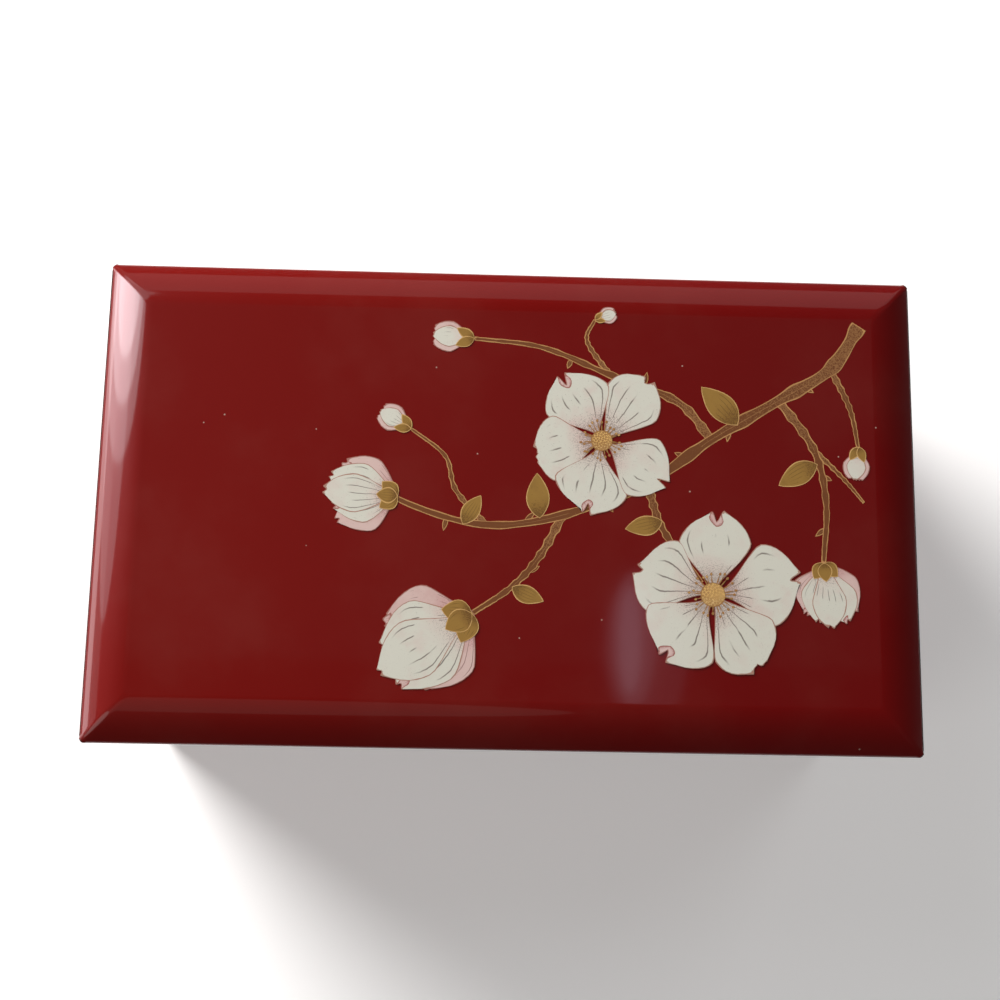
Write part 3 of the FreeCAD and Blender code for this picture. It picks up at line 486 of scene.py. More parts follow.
def makeFanPlastic():
    material, tree, shader, place = startMaterial("fanPlastic")
    grain = clouds(tree, place, plasticLook["grain"])
    link(tree, mixed(tree, grain, plasticLook["low"], plasticLook["high"]), shader, "Base Color")
    link(tree, spread(tree, grain, 0.3, 0.7, *plasticLook["rough"]), shader, "Roughness")
    return material


printLooks = {  # body, tint at the root, drawn outline and vein colours, veins across
    "creamPetal": {"body": (0.64, 0.635, 0.55), "root": (0.62, 0.38, 0.36), "line": (0.36, 0.17, 0.12),
                   "vein": (0.13, 0.1, 0.085), "veins": 2.6},
    "rosePetal": {"body": (0.64, 0.47, 0.43), "root": (0.5, 0.24, 0.23), "line": (0.33, 0.13, 0.1),
                  "vein": (0.24, 0.12, 0.11), "veins": 3.4},
    "goldTwig": {"body": (0.16, 0.055, 0.018), "root": (0.11, 0.034, 0.012), "line": (0.5, 0.27, 0.1),
                 "vein": (0.36, 0.18, 0.07), "veins": 1.2},
    "goldLeaf": {"body": (0.3, 0.17, 0.04), "root": (0.17, 0.08, 0.018), "line": (0.6, 0.37, 0.14),
                 "vein": (0.1, 0.045, 0.015), "veins": 3.0},
    "goldStamen": {"body": (0.66, 0.42, 0.15), "root": (0.34, 0.17, 0.05), "line": (0.3, 0.14, 0.045),
                   "vein": (0.8, 0.6, 0.28), "veins": 0.9},
}
inkShares = {"Stipple": 0.55, "Vein": 0.8, "Outline": 0.9, "patches": 170.0, "rough": (0.34, 0.46)}
printLayers = ("across", "along", "margin", "tint")  # margin is the way to a shape's outline in mm


def makePrint(name):
    look = printLooks[name]
    material, tree, shader, place = startMaterial(name)
    across, along, margin, tint = (addNode(tree, "Attribute", {"attribute_name": layer}).outputs["Fac"]
                                   for layer in printLayers)
    ink = useGroup(tree, inkLines, Across=across, Along=along, Margin=margin, Place=place,
                   Veins=look["veins"])
    uneven = clouds(tree, place, inkShares["patches"], 3.0, 0.6)
    patchy = times(tree, spread(tree, uneven, 0.45, 0.75), 0.35)
    rosy = timesPlus(tree, spread(tree, along, 0.55, 0.05), 0.75, patchy)
    colour = mixed(tree, times(tree, rosy, tint), look["body"], look["root"])
    for drawn, tone in (("Stipple", "vein"), ("Vein", "vein"), ("Outline", "line")):
        colour = mixed(tree, times(tree, ink[drawn], inkShares[drawn]), colour, look[tone])
    link(tree, colour, shader, "Base Color")
    link(tree, spread(tree, uneven, 0.3, 0.7, *inkShares["rough"]), shader, "Roughness")
    setShader(shader, Coat_Weight=1.0, Coat_Roughness=0.06, Coat_IOR=1.4, IOR=1.45, Specular_IOR_Level=0.2)
    return material


redLacquer = makeLacquer()
makeInnerWood("stainedWood", (4.0, 60.0, 60.0))
makeInnerWood("stainedWoodSides", (60.0, 4.0, 60.0))
redVelvet = makeVelvet("redVelvet", 1.0, velvetLook)
darkFelt = makeVelvet("darkFelt", 0.55, feltLook)
makeMetal("polishedBrass")
groundSteel = makeMetal("groundSteel")
makeGlass("silveredGlass", Metallic=1.0)
clearCover = makeGlass("clearCover", Metallic=0.0, Transmission_Weight=1.0, IOR=1.01, Coat_Weight=0.6,
                       Coat_Roughness=0.03, Coat_IOR=1.45)
makeFanPlastic()
printFinish = {name: makePrint(name) for name in printLooks}
print("finishes made")


# every CAD node that shows takes a finish

nodeFinishes = {
    "redLacquer": ("base_panel", "left_wall", "right_wall", "back_wall", "front_rail", "drawer_front"),
    "stainedWood": ("tray_shelf", "drawer_stop", "drawer_back", "drawer_bottom"),
    "stainedWoodSides": ("drawer_left", "drawer_right"),
    "polishedBrass": ("hinge_case_leaf_left", "hinge_case_leaf_right", "hinge_lid_leaf_left",
                      "hinge_lid_leaf_right", "hinge_pin_left", "hinge_pin_right", "hinge_case_screws",
                      "hinge_lid_screws", "movement_plate", "music_cylinder", "cylinder_gear",
                      "cylinder_pinion", "governor_wheel", "barrel_bridge", "winding_key"),
    "groundSteel": ("music_comb", "comb_screws", "plate_screws", "frame_screws", "spring_barrel",
                    "winding_arbor", "governor_bracket", "stop_lever"),
    "silveredGlass": ("mirror",),
    "fanPlastic": ("governor_fan",),
}
for finishName, members in nodeFinishes.items():
    for member in members:
        mesh = nodes[member].data
        mesh.materials.clear()
        mesh.materials.append(bpy.data.materials[finishName])
print("finishes on", sum(len(members) for members in nodeFinishes.values()), "nodes")


# lid

lidShape = {"width": 216.0, "depth": 127.0, "low": 78.5, "top": 97.7, "shoulder": 93.5, "bevel": 12.0,
            "crown": 0.95, "roof": 90.5, "innerX": 100.0, "innerY": 55.5, "steps": 22,
            "flatInsets": (1.2, 0.4), "besideMitre": 1.6, "mitreRound": 0.78, "rimRound": 0.5}


def bevelProfile():
    # the bevel's arc as (out, height) pairs from the flat top to the shoulder
    chordX, chordZ = lidShape["bevel"], lidShape["top"] - lidShape["shoulder"]
    half = math.hypot(chordX, chordZ) / 2
    radius = (half * half + lidShape["crown"] ** 2) / (2 * lidShape["crown"])
    tilt, reach = math.atan2(chordZ, chordX), math.asin(half / radius)
    angles = [tilt - reach + 2 * reach * step / lidShape["steps"] for step in range(lidShape["steps"] + 1)]
    points = [(radius * math.sin(angle), radius * math.cos(angle)) for angle in angles]
    first = points[0]
    return [(x - first[0], lidShape["top"] + z - first[1]) for x, z in points]


def growRing(bm, edges, halfX, halfY, z):
    # extrudes a loop of edges and sets the new loop on a rectangle of this size and height
    made = bmesh.ops.extrude_edge_only(bm, edges=edges)["geom"]
    for vert in onlyVerts(made):
        vert.co = placed(math.copysign(halfX, vert.co.x), math.copysign(halfY, vert.co.y), z)
    return onlyEdges(made)


def cutBesideMitres(bm, diagonalX):
    # plain cuts on both sides of each mitre keep the bevels' shading flat up to it
    beside = lidShape["besideMitre"]
    for slope, offset, side in itertools.product((-1, 1), (-beside, beside), (-1, 1)):
        bmesh.ops.bisect_plane(bm, geom=bm.verts[:] + bm.edges[:] + bm.faces[:], dist=1e-6,
                               plane_co=placed(side * diagonalX + offset, 0, 0), plane_no=(1.0, slope, 0.0))


def isMitre(edge, diagonalX):
    # an edge that climbs the bevel in the corner's diagonal
    lower, upper = sorted(v.co.z for v in edge.verts)
    return (all(abs(abs(v.co.x) / mm - abs(v.co.y) / mm - diagonalX) < 0.01 for v in edge.verts)
            and (lidShape["shoulder"] - 0.01) * mm < lower < upper)


def makeLidShell():
    bm = bmesh.new()
    halfX, halfY = lidShape["width"] / 2, lidShape["depth"] / 2
    flatX, flatY = halfX - lidShape["bevel"], halfY - lidShape["bevel"]
    inner, outer = lidShape["flatInsets"]
    bmesh.ops.create_grid(bm, x_segments=1, y_segments=1, size=1.0)
    for vert in bm.verts:
        vert.co = placed(math.copysign(flatX - inner, vert.co.x), math.copysign(flatY - inner, vert.co.y),
                         lidShape["top"])
    rings = [(flatX - outer, flatY - outer, lidShape["top"])]
    rings += [(flatX + out, flatY + out, z) for out, z in bevelProfile()]
    rings += [(halfX, halfY, lidShape["low"])]
    rings += [(lidShape["innerX"], lidShape["innerY"], lidShape[level]) for level in ("low", "roof")]
    edges = list(bm.edges)
    for ring in rings:
        edges = growRing(bm, edges, *ring)
    bmesh.ops.contextual_create(bm, geom=edges)
    cutBesideMitres(bm, halfX - halfY)
    mitres = [e for e in bm.edges if isMitre(e, halfX - halfY)]
    uprights = [e for e in bm.edges if climb(e) > 10 and abs(e.verts[0].co.x) > (halfX - 0.1) * mm]
    roundEdges(bm, uprights + mitres, lidShape["mitreRound"], 4)
    rims = [e for e in bm.edges if len(e.link_faces) == 2 and e.calc_face_angle(0.0) > math.radians(40)
            and climb(e) < 0.05]
    roundEdges(bm, rims, lidShape["rimRound"], 3)
    cutLeafSeats(makePiece("lidShell", bm, redLacquer, "lid", ["lid_shell"], sharp=50.0))


leafSeats = {"centres": (-68.0, 68.0), "half": 12.1, "y": (57.0, 64.5), "z": (77.0, 79.35)}


def cutLeafSeats(lid):
    # shallow seats for the hinge leaves in the underside at the back
    bm = bmesh.new()
    (front, back), (low, high) = leafSeats["y"], leafSeats["z"]
    for centre in leafSeats["centres"]:
        addBlock(bm, (centre - leafSeats["half"], front, low), (centre + leafSeats["half"], back, high))
    mesh = meshFrom("leafSeats", bm)
    cutter = addObject("leafSeats", mesh)
    cut = lid.modifiers.new("leafSeats", "BOOLEAN")
    cut.object, cut.solver = cutter, "EXACT"
    bpy.context.view_layer.objects.active = lid
    bpy.ops.object.modifier_apply(modifier=cut.name)
    bpy.data.objects.remove(cutter)
    bpy.data.meshes.remove(mesh)


makeLidShell()
print("lid made")


# floral print on the lid: generic five-petalled blossoms, buds and leaves on a twig

printHeight = {"under": lidShape["top"] - 0.08, "twigs": lidShape["top"] + 0.03, "step": 0.0105}

twigPaths = [  # points in mm on the lid, width at the start and at the tip
    ([(93, 50), (85, 38), (71, 29), (53, 18), (36, 6), (14, -3), (-6, -6), (-26, -1), (-42, 8)], 3.6, 1.2),
    ([(71, 29), (80, 16), (83, 2), (82, -14)], 2.4, 1.2),
    ([(53, 18), (44, 28), (26, 35), (8, 42), (-10, 44)], 2.4, 1.0),
    ([(14, -3), (8, -14), (1, -22), (-9, -29)], 2.2, 1.3),
    ([(36, 6), (40, -6), (50, -20)], 2.2, 1.4),
    ([(85, 38), (90, 27), (92, 16)], 1.8, 0.9),
    ([(-6, -6), (-14, 3), (-17, 12), (-26, 19)], 1.5, 0.8),
    ([(26, 35), (20, 44), (22, 50)], 1.5, 0.8),
    ([(80, 16), (88, 8), (93, 2)], 1.4, 0.7),
]
spurs = [  # root and direction in degrees
    ((64, 25), 40), ((58, 21), 250), ((46, 13), 150), ((25, 1), 300), ((4, -5), 40), ((-16, -4), 250),
    ((35, 32), 70), ((16, 39), 240), ((82, 9), 330), ((83, -5), 210), ((5, -18), 20), ((78, 33), 320),
    ((-34, 3), 60),
]
openBlossoms = [  # centre, petal length and half width, turn in degrees, level
    ((53, -23), 21.0, 10.6, 14, 15), ((24, 17), 18.5, 9.3, 46, 7),
]
sideBlossoms = [  # root, direction in degrees, length, half width, level
    ((-9, -29), 212, 27.0, 7.6, 9), ((82, -14), 276, 17.0, 4.8, 8), ((-29, 1), 176, 19.0, 5.4, 8),
]
buds = [  # as the side blossoms
    ((-10, 44), 176, 11.0, 3.0, 7), ((92, 17), 262, 9.0, 2.6, 7), ((-26, 19), 150, 9.5, 2.6, 7),
    ((22, 50), 20, 6.0, 1.7, 7),
]
leaves = [  # root, direction in degrees, length, half width
    ((60, 22), 128, 14.0, 3.8), ((81, 12), 205, 12.0, 3.2), ((8, -4), 98, 12.0, 3.2),
    ((-12, -6), 62, 9.0, 2.5), ((40, -4), 200, 10.0, 2.8), ((1, -22), 330, 9.0, 2.5),
]


smallShapes = {  # a patch is its grid's cells and its tint, a nudge the mm of height between neighbours
    "twig": {"patch": ((4, 18), 0.6), "nudge": 0.0006},
    "spur": {"patch": ((4, 6), 0.5), "nudge": 0.0001, "length": (2.6, 4.2), "half": 0.75, "bend": 0.1},
    "leaf": {"patch": ((6, 12), 0.7), "nudge": 0.0004, "bend": 0.12},
    "cup": {"patch": ((6, 8), 0.8)},
}
openShape = {"petals": 5, "fan": 6, "size": (0.9, 1.07), "wide": (0.9, 1.05), "notch": 0.1, "wave": 0.7,
             "bend": 0.08, "start": 1.5, "cells": (14, 18), "tint": (0.4, 0.85), "curl": (0.5, 0.8),
             "fold": 0.12, "curlPatch": ((12, 3), 0.9), "button": 0.17}
sideShape = {"leans": (-36, 36, -17, 19, 1), "shorter": 0.004, "size": (0.94, 1.04), "wave": 0.45,
             "bend": 0.0045, "cells": (12, 16), "tints": (0.95, 0.7), "curled": (0, 3), "curl": 0.7,
             "fold": 0.1, "curlPatch": ((10, 3), 1.0), "cup": (-38, 38, 0), "cupSize": (0.3, 0.42)}
budShape = {"leans": (-11, 11, 0), "shorter": 0.0, "size": None, "wave": 0.1, "bend": 0.0, "cells": (8, 10),
            "tints": (0.8, 0.8), "curled": (), "cup": (-26, 26), "cupSize": (0.5, 0.5)}
curlRise = 0.003


def startPrint():
    bm = bmesh.new()
    for name in printLayers:
        bm.verts.layers.float.new(name)
    return bm


def addPatch(bm, shape, top, cells, tint):
    # a thin printed patch: a grid whose (across, along) places are turned into points by shape
    layers = {name: bm.verts.layers.float[name] for name in printLayers}
    grid = bmesh.ops.create_grid(bm, x_segments=cells[0], y_segments=cells[1], size=0.5)["verts"]
    rim = {v for v in grid if v.is_boundary}
    for vert in grid:
        across, along = vert.co.x * 2, vert.co.y + 0.5
        for name, value in (("across", across), ("along", along), ("tint", tint)):
            vert[layers[name]] = value
        vert.co = placed(*shape(across, along), printHeight["under"])
    for vert in grid:
        nearest = min((vert.co - other.co).length for other in rim)
        vert[layers["margin"]] = 0.0 if vert in rim else nearest / mm
    faces = list({f for v in grid for f in v.link_faces})
    for vert in onlyVerts(bmesh.ops.extrude_face_region(bm, geom=faces)["geom"]):
        vert.co.z = top * mm


def printLevel(level):
    # height in mm of one of the print's stacked patches
    return printHeight["twigs"] + printHeight["step"] * level


def turned(root, angle, out, side):
    # a point out along a direction from a root, and to its side
    return (root[0] + out * math.cos(angle) - side * math.sin(angle),
            root[1] + out * math.sin(angle) + side * math.cos(angle))


def petalShape(root, degrees, length, half, notch, wave, bend):
    angle, phase = math.radians(degrees), dice.random() * 6.3

    def shape(across, along):
        belly = max(0.05, math.sin(math.pi * min(1.0, along ** 1.3 + 0.015))) ** 0.55
        wide = half * belly * (0.3 + 0.7 * min(1.0, along * 1.7))
        out = length * (along - notch * (1 - abs(across)) ** 2 * along ** 5)
        out += wave * math.sin(across * 4.2 + phase) * along ** 2
        side = wide * across + bend * length * along * along
        return turned(root, angle, out, side + wave * 0.6 * math.sin(along * 7 + phase) * across)
    return shape


def leafShape(root, degrees, length, half, bend):
    angle = math.radians(degrees)

    def shape(across, along):
        wide = half * math.sin(math.pi * along) ** 0.8 * (1.15 - 0.4 * along)
        return turned(root, angle, length * along, wide * across + bend * length * along * along)
    return shape


def twigShape(points, startWidth, endWidth):
    # a tapering strip along a smooth line through the points, with knots
    corners = [Vector((*p, 0.0)) for p in points]
    corners = [corners[0] * 2 - corners[1]] + corners + [corners[-1] * 2 - corners[-2]]
    phase = dice.random() * 6.3

    def middle(along):
        place = min(along, 0.9999) * (len(points) - 1)
        i, t = int(place), place - int(place)
        a, b, c, d = corners[i:i + 4]
        bend, swing = a * 2 - b * 5 + c * 4 - d, b * 3 - a - c * 3 + d
        return (b * 2 + (c - a) * t + bend * t * t + swing * t ** 3) / 2

    def shape(across, along):
        ahead = (middle(min(1.0, along + 0.01)) - middle(max(0.0, along - 0.01))).normalized()
        knots = 1 + 0.22 * math.sin(along * 31 + phase) ** 8 + 0.1 * math.sin(along * 57 + phase * 2)
        half = (startWidth + (endWidth - startWidth) * along) / 2 * knots
        centre = middle(along)
        return centre.x - ahead.y * half * across, centre.y + ahead.x * half * across
    return shape


def curlShape(petal, reach, depth):
    # the tip of a petal folded over: a crescent along its outline
    return lambda across, along: petal(across * reach, 1 - (1 - along) * depth * (1 - across * across))


def printTwigs(gold, green):
    twig, spur, leaf = (smallShapes[kind] for kind in ("twig", "spur", "leaf"))
    (across, along), tint = twig["patch"]
    for number, (points, wide, slim) in enumerate(twigPaths):
        top = printLevel(0) + (len(twigPaths) - number) * twig["nudge"]
        addPatch(gold, twigShape(points, wide, slim), top, (across, along * len(points)), tint)
    for number, (root, degrees) in enumerate(spurs):
        shape = leafShape(root, degrees, dice.uniform(*spur["length"]), spur["half"], spur["bend"])
        addPatch(gold, shape, printLevel(0) + number * spur["nudge"], *spur["patch"])
    for number, (root, degrees, length, half) in enumerate(leaves):
        shape = leafShape(root, degrees, length, half, dice.uniform(-leaf["bend"], leaf["bend"]))
        addPatch(green, shape, printLevel(1) + number * leaf["nudge"], *leaf["patch"])


def printOpenBlossom(cream, rose, stamen, centre, length, half, turn, level):
    look = openShape
    for petal in range(look["petals"]):
        top = printLevel(level + petal)
        degrees = turn + 360 / look["petals"] * petal + dice.uniform(-look["fan"], look["fan"])
        size = length * dice.uniform(*look["size"])
        root = turned(centre, math.radians(degrees), look["start"], 0.0)
        wide = half * dice.uniform(*look["wide"])
        bend = dice.uniform(-look["bend"], look["bend"])
        shape = petalShape(root, degrees, size, wide, look["notch"], look["wave"], bend)
        addPatch(cream, shape, top, look["cells"], dice.uniform(*look["tint"]))
        if petal % 2:
            curl = curlShape(shape, dice.uniform(*look["curl"]), look["fold"])
            addPatch(rose, curl, top + curlRise, *look["curlPatch"])
    addStamens(stamen, centre, length * look["button"], printLevel(level + look["petals"] + 1))


def printSideways(cream, rose, green, look, root, degrees, length, half, level):
    # a side blossom or a bud: two rose petals behind, cream ones before them, held by small green leaves
    for petal, lean in enumerate(look["leans"]):
        top, behind = printLevel(level + petal), petal < 2
        size = length * (1.0 - abs(lean) * look["shorter"])
        if look["size"]:
            size *= dice.uniform(*look["size"])
        shape = petalShape(root, degrees + lean, size, half, 0.0, look["wave"], -lean * look["bend"])
        addPatch(rose if behind else cream, shape, top, look["cells"], look["tints"][0 if behind else 1])
        if petal in look["curled"]:
            curl = curlShape(shape, look["curl"], look["fold"])
            addPatch(rose, curl, top + curlRise, *look["curlPatch"])
    longer, wider = look["cupSize"]
    for number, lean in enumerate(look["cup"]):
        shape = leafShape(root, degrees + lean, length * longer, half * wider, 0.0)
        top = printLevel(level + len(look["leans"]) + 1 + number)
        addPatch(green, shape, top, *smallShapes["cup"]["patch"])


stamenShape = {"threads": 24, "fan": 0.1, "reach": (1.25, 1.7), "foot": 0.6, "threadHalf": 0.17,
               "threadDrop": 0.003, "threadPatch": ((1, 2), 0.4), "tipBack": 0.3, "tipLength": 0.95,
               "tipDrop": 0.001, "tipPatch": ((3, 3), 0.2), "button": 0.9, "grains": 52,
               "goldenTurn": 2.39996, "seeds": 0.86, "grainLength": 0.72, "grainRise": 0.004,
               "grainNudge": 0.00002, "grainTint": (0.0, 0.7)}


def addStamens(bm, centre, radius, top):
    # a gold button of small grains with short threads round it
    def button(across, along):
        out = max(abs(across), abs(along - 0.5) * 2) * radius * stamenShape["button"]
        return turned(centre, math.atan2(along - 0.5, across), out, 0.0)
    look, fan, foot = stamenShape, stamenShape["fan"], radius * stamenShape["foot"]
    width = look["grainLength"] / 2
    for number in range(look["threads"]):
        angle = 2 * math.pi * number / look["threads"] + dice.uniform(-fan, fan)
        degrees, reach = math.degrees(angle), radius * dice.uniform(*look["reach"])
        root = turned(centre, angle, foot, 0.0)
        thread = leafShape(root, degrees, reach - foot, look["threadHalf"], 0.0)
        addPatch(bm, thread, top - look["threadDrop"], *look["threadPatch"])
        root = turned(centre, angle, reach - look["tipBack"], 0.0)
        tip = leafShape(root, degrees, look["tipLength"], width, 0.0)
        addPatch(bm, tip, top - look["tipDrop"], *look["tipPatch"])
    addPatch(bm, button, top, (8, 8), 1.0)
    for number in range(look["grains"]):
        out = radius * look["seeds"] * math.sqrt((number + 0.5) / look["grains"])
        x, y = turned(centre, number * look["goldenTurn"], out, 0.0)
        grain = leafShape((x - width, y), 0.0, look["grainLength"], width, 0.0)
        height = top + look["grainRise"] + number * look["grainNudge"]
        addPatch(bm, grain, height, (2, 2), dice.uniform(*look["grainTint"]))


def makePrintedFlowers():
    cream, rose, gold, green, stamen = (startPrint() for _ in range(5))
    printTwigs(gold, green)
    for blossom in openBlossoms:
        printOpenBlossom(cream, rose, stamen, *blossom)
    for look, blossoms in ((sideShape, sideBlossoms), (budShape, buds)):
        for blossom in blossoms:
            printSideways(cream, rose, green, look, *blossom)
    prints = {"printTwigs": (gold, "goldTwig"), "printLeaves": (green, "goldLeaf"),
              "printCreamPetals": (cream, "creamPetal"), "printRosePetals": (rose, "rosePetal"),
              "printStamens": (stamen, "goldStamen")}
    for name, (bm, finish) in prints.items():
        makePiece(name, bm, printFinish[finish], "lid")


makePrintedFlowers()
print("floral print made")


# music drum and its clear cover

drum = {"x0": -85.4, "pitch": 1.28, "tracks": 18, "axisY": 36.6, "axisZ": 62.0, "foot": 6.35, "reach": 7.2,
        "perTrack": 15, "missing": 0.25, "thick": 0.2, "thin": 0.14}


def makeTunePins():
    # the tune's fine pins between the coarse ones, one row of them under each tooth of the comb
    bm = bmesh.new()
    middle = (drum["foot"] + drum["reach"]) / 2
    for track in range(drum["tracks"]):
        for number in range(drum["perTrack"]):
            if dice.random() < drum["missing"]:
                continue
            angle = 2 * math.pi * (number + dice.uniform(0.1, 0.9)) / drum["perTrack"]
            place = placed(drum["x0"] + drum["pitch"] * track, drum["axisY"] + middle * math.cos(angle),
                           drum["axisZ"] + middle * math.sin(angle))
            matrix = Matrix.Translation(place) @ Matrix.Rotation(angle - math.pi / 2, 4, "X")
            bmesh.ops.create_cone(bm, cap_ends=True, segments=7, radius1=drum["thick"] * mm,
                                  radius2=drum["thin"] * mm, depth=(drum["reach"] - drum["foot"]) * mm,
                                  matrix=matrix)
    makePiece("tunePins", bm, groundSteel, "cylinder", sharp=50.0)


clearBox = {"x": (-99.8, -36.0), "y": (24.5, 55.3), "low": 35.05, "seam": 76.4, "under": 76.5, "top": 78.0,
            "thick": 1.5, "bend": 1.6, "bendSteps": 6, "rim": 0.2, "notchX": -96.1, "notchY": (42.2, 50.2)}


def addPlate(bm, outline, low, high, soft):
    # a plate with rounded rims, from its outline in mm
    bottom = bm.faces.new([bm.verts.new(placed(x, y, low)) for x, y in outline])
    for vert in onlyVerts(bmesh.ops.extrude_face_region(bm, geom=[bottom])["geom"]):
        vert.co.z = high * mm
    roundEdges(bm, [e for e in bm.edges if climb(e) < 0.01], soft, 2)


def makeClearCover():
    # front and side are one bent sheet, the top lies on it with its notch for the stop lever
    (x0, x1), (y0, y1), bend = (clearBox[key] for key in ("x", "y", "bend"))
    insideX, insideY = x1 - clearBox["thick"], y0 + clearBox["thick"]
    turn = [math.pi / 2 * (step / clearBox["bendSteps"] - 1) for step in range(clearBox["bendSteps"] + 1)]
    outline = [(x0, y0)] + [turned((x1 - bend, y0 + bend), angle, bend, 0.0) for angle in turn]
    outline += [(x1, y1), (insideX, y1), (insideX, insideY), (x0, insideY)]
    bm = bmesh.new()
    addPlate(bm, outline, clearBox["low"], clearBox["seam"], clearBox["rim"])
    makePiece("coverWalls", bm, clearCover, "case", ["cover_front", "cover_side"])
    notchX, (front, back) = clearBox["notchX"], clearBox["notchY"]
    outline = [(x0, y0), (x1, y0), (x1, y1), (x0, y1)]
    outline += [(x0, back), (notchX, back), (notchX, front), (x0, front)]
    bm = bmesh.new()
    addPlate(bm, outline, clearBox["under"], clearBox["top"], clearBox["rim"])
    makePiece("coverTop", bm, clearCover, "case", ["cover_top"])


makeTunePins()
makeClearCover()
print("pins and cover made")


# velvet linings and the felt under the base

tray = {"x": 100.0, "y": 55.5, "flock": 1.2, "low": 35.0, "top": 76.0, "floor": 36.2, "bayX": -35.8,
        "bayY": 24.3, "clear": 0.02, "soft": 0.5, "backingX": 98.7, "backingY": 54.2, "pad": 0.6,
        "puff": 0.75}
dividers = {  # two corners of each in mm
    "divider_rear": ((-35.8, 23.0), (98.6, 26.0)), "divider_rings": ((-35.8, -54.1), (-32.8, 22.8)),
    "divider_cross": ((-32.6, -16.3), (98.6, -13.3)), "divider_small": ((28.2, -13.1), (31.2, 22.8)),
}
dividerShape = {"high": 30.0, "round": 1.1}
padCells = [((-35.6, 26.1), (98.7, 54.2)), ((-32.7, -13.2), (28.1, 22.9)), ((31.3, -13.2), (98.7, 22.9)),
            ((-32.7, -54.2), (98.7, -16.4))]
padShape = {"rim": 0.25, "slope": 2.2, "uneven": 0.12, "patch": 0.09}


def addPad(bm, low, high, base, top, puff, cells=(40, 16)):
    # a thin pad with a rounded, slightly uneven top
    grid = bmesh.ops.create_grid(bm, x_segments=cells[0], y_segments=cells[1], size=0.5)["verts"]
    for vert in grid:
        u, v = vert.co.x + 0.5, vert.co.y + 0.5
        vert.co = placed(low[0] + (high[0] - low[0]) * u, low[1] + (high[1] - low[1]) * v, base)
    made = bmesh.ops.extrude_face_region(bm, geom=list({f for v in grid for f in v.link_faces}))["geom"]
    for vert in onlyVerts(made):
        x, y = vert.co.x / mm, vert.co.y / mm
        near = max(0.0, min(x - low[0], high[0] - x, y - low[1], high[1] - y))
        patch = noise.noise(Vector((x * padShape["patch"], y * padShape["patch"], base)))
        rise = (1 - math.exp(-near / padShape["slope"])) * (puff + padShape["uneven"] * patch)
        vert.co.z = (top - padShape["rim"] + rise) * mm


def makeTrayLinings():
    bm = bmesh.new()
    x, y, flock = tray["x"] - tray["clear"], tray["y"] - tray["clear"], tray["flock"]
    for (x0, y0), (x1, y1) in (((-x, -y), (-x + flock, tray["bayY"])), ((x - flock, -y), (x, y)),
                               ((-x + flock, -y), (x - flock, -y + flock)),
                               ((tray["bayX"], y - flock), (x - flock, y))):
        addBlock(bm, (x0, y0, tray["low"]), (x1, y1, tray["top"]), tray["soft"], 3)
    walls = makePiece("trayWallLining", bm, redVelvet, "case", ["tray_lining"])
    bm = bmesh.new()
    x, y, backing = tray["backingX"], tray["backingY"], tray["floor"] - 0.2
    addBlock(bm, (-x, -y, tray["low"]), (x, tray["bayY"], backing))
    addBlock(bm, (tray["bayX"], tray["bayY"], tray["low"]), (x, y, backing))
    for low, high in padCells:
        addPad(bm, low, high, tray["floor"] - tray["pad"], tray["floor"], tray["puff"])
    floor = makePiece("trayFloorPads", bm, redVelvet, "case", ["tray_floor"])


def makeDividers():
    top = tray["floor"] + dividerShape["high"]
    for name, (low, high) in dividers.items():
        bm = bmesh.new()
        addBlock(bm, (*low, tray["floor"]), (*high, top))
        rims = [e for e in bm.edges if min(v.co.z for v in e.verts) > (top - 1.0) * mm]
        roundEdges(bm, rims, dividerShape["round"], 5)
        first, second = name.split("_")
        board = makePiece(first + second.capitalize(), bm, redVelvet, "case", [name])


rollShape = {"x": (-98.6, -36.0), "y": (-54.1, 24.3), "z": (36.2, 53.2), "gap": 0.3, "count": 5,
             "stations": 46, "sides": 40, "inset": 0.05, "crowd": 0.75, "squareY": 0.72, "squareZ": 0.8,
             "sink": 0.1, "tuck": 0.5, "tuckLength": 1.1, "pucker": 0.02, "puckerLength": 5.0,
             "uneven": 0.012}


def rollRing(half, share, index):
    # points (y, z) of one cross-section, narrowed near the roll's ends
    points = []
    (left, right), (low, high) = rollShape["x"], rollShape["z"]
    end = min(share, 1 - share) * (right - left)
    tuck = 1 - rollShape["tuck"] * math.exp(-end / rollShape["tuckLength"])
    folds = rollShape["pucker"] * math.exp(-end / rollShape["puckerLength"])
    height, middle = (high - low) / 2, (low + high) / 2 - rollShape["sink"]
    for i in range(rollShape["sides"]):
        angle = 2 * math.pi * (i + 0.5) / rollShape["sides"]
        y = half * math.copysign(abs(math.cos(angle)) ** rollShape["squareY"], math.cos(angle))
        z = math.copysign(abs(math.sin(angle)) ** rollShape["squareZ"], math.sin(angle))
        pucker = 1 + folds * math.sin(i * 2.51 + index * 2.0)
        uneven = 1 + rollShape["uneven"] * noise.noise(Vector((share * 9, i * 0.35, index * 3.1)))
        y *= min(1.0, tuck * 1.02) * (pucker * uneven - rollShape["uneven"])
        points.append((y, middle + height * z * (tuck * pucker * uneven if z > 0 else 1.0)))
    return points


def nextRing(bm, edges, ring):
    # extrudes a loop of edges and gives its new verts in the order of the old ones
    made = bmesh.ops.extrude_edge_only(bm, edges=edges)["geom"]
    fresh = set(onlyVerts(made))
    ring = [next(e.other_vert(vert) for e in vert.link_edges if e.other_vert(vert) in fresh) for vert in ring]
    return onlyEdges(made), ring


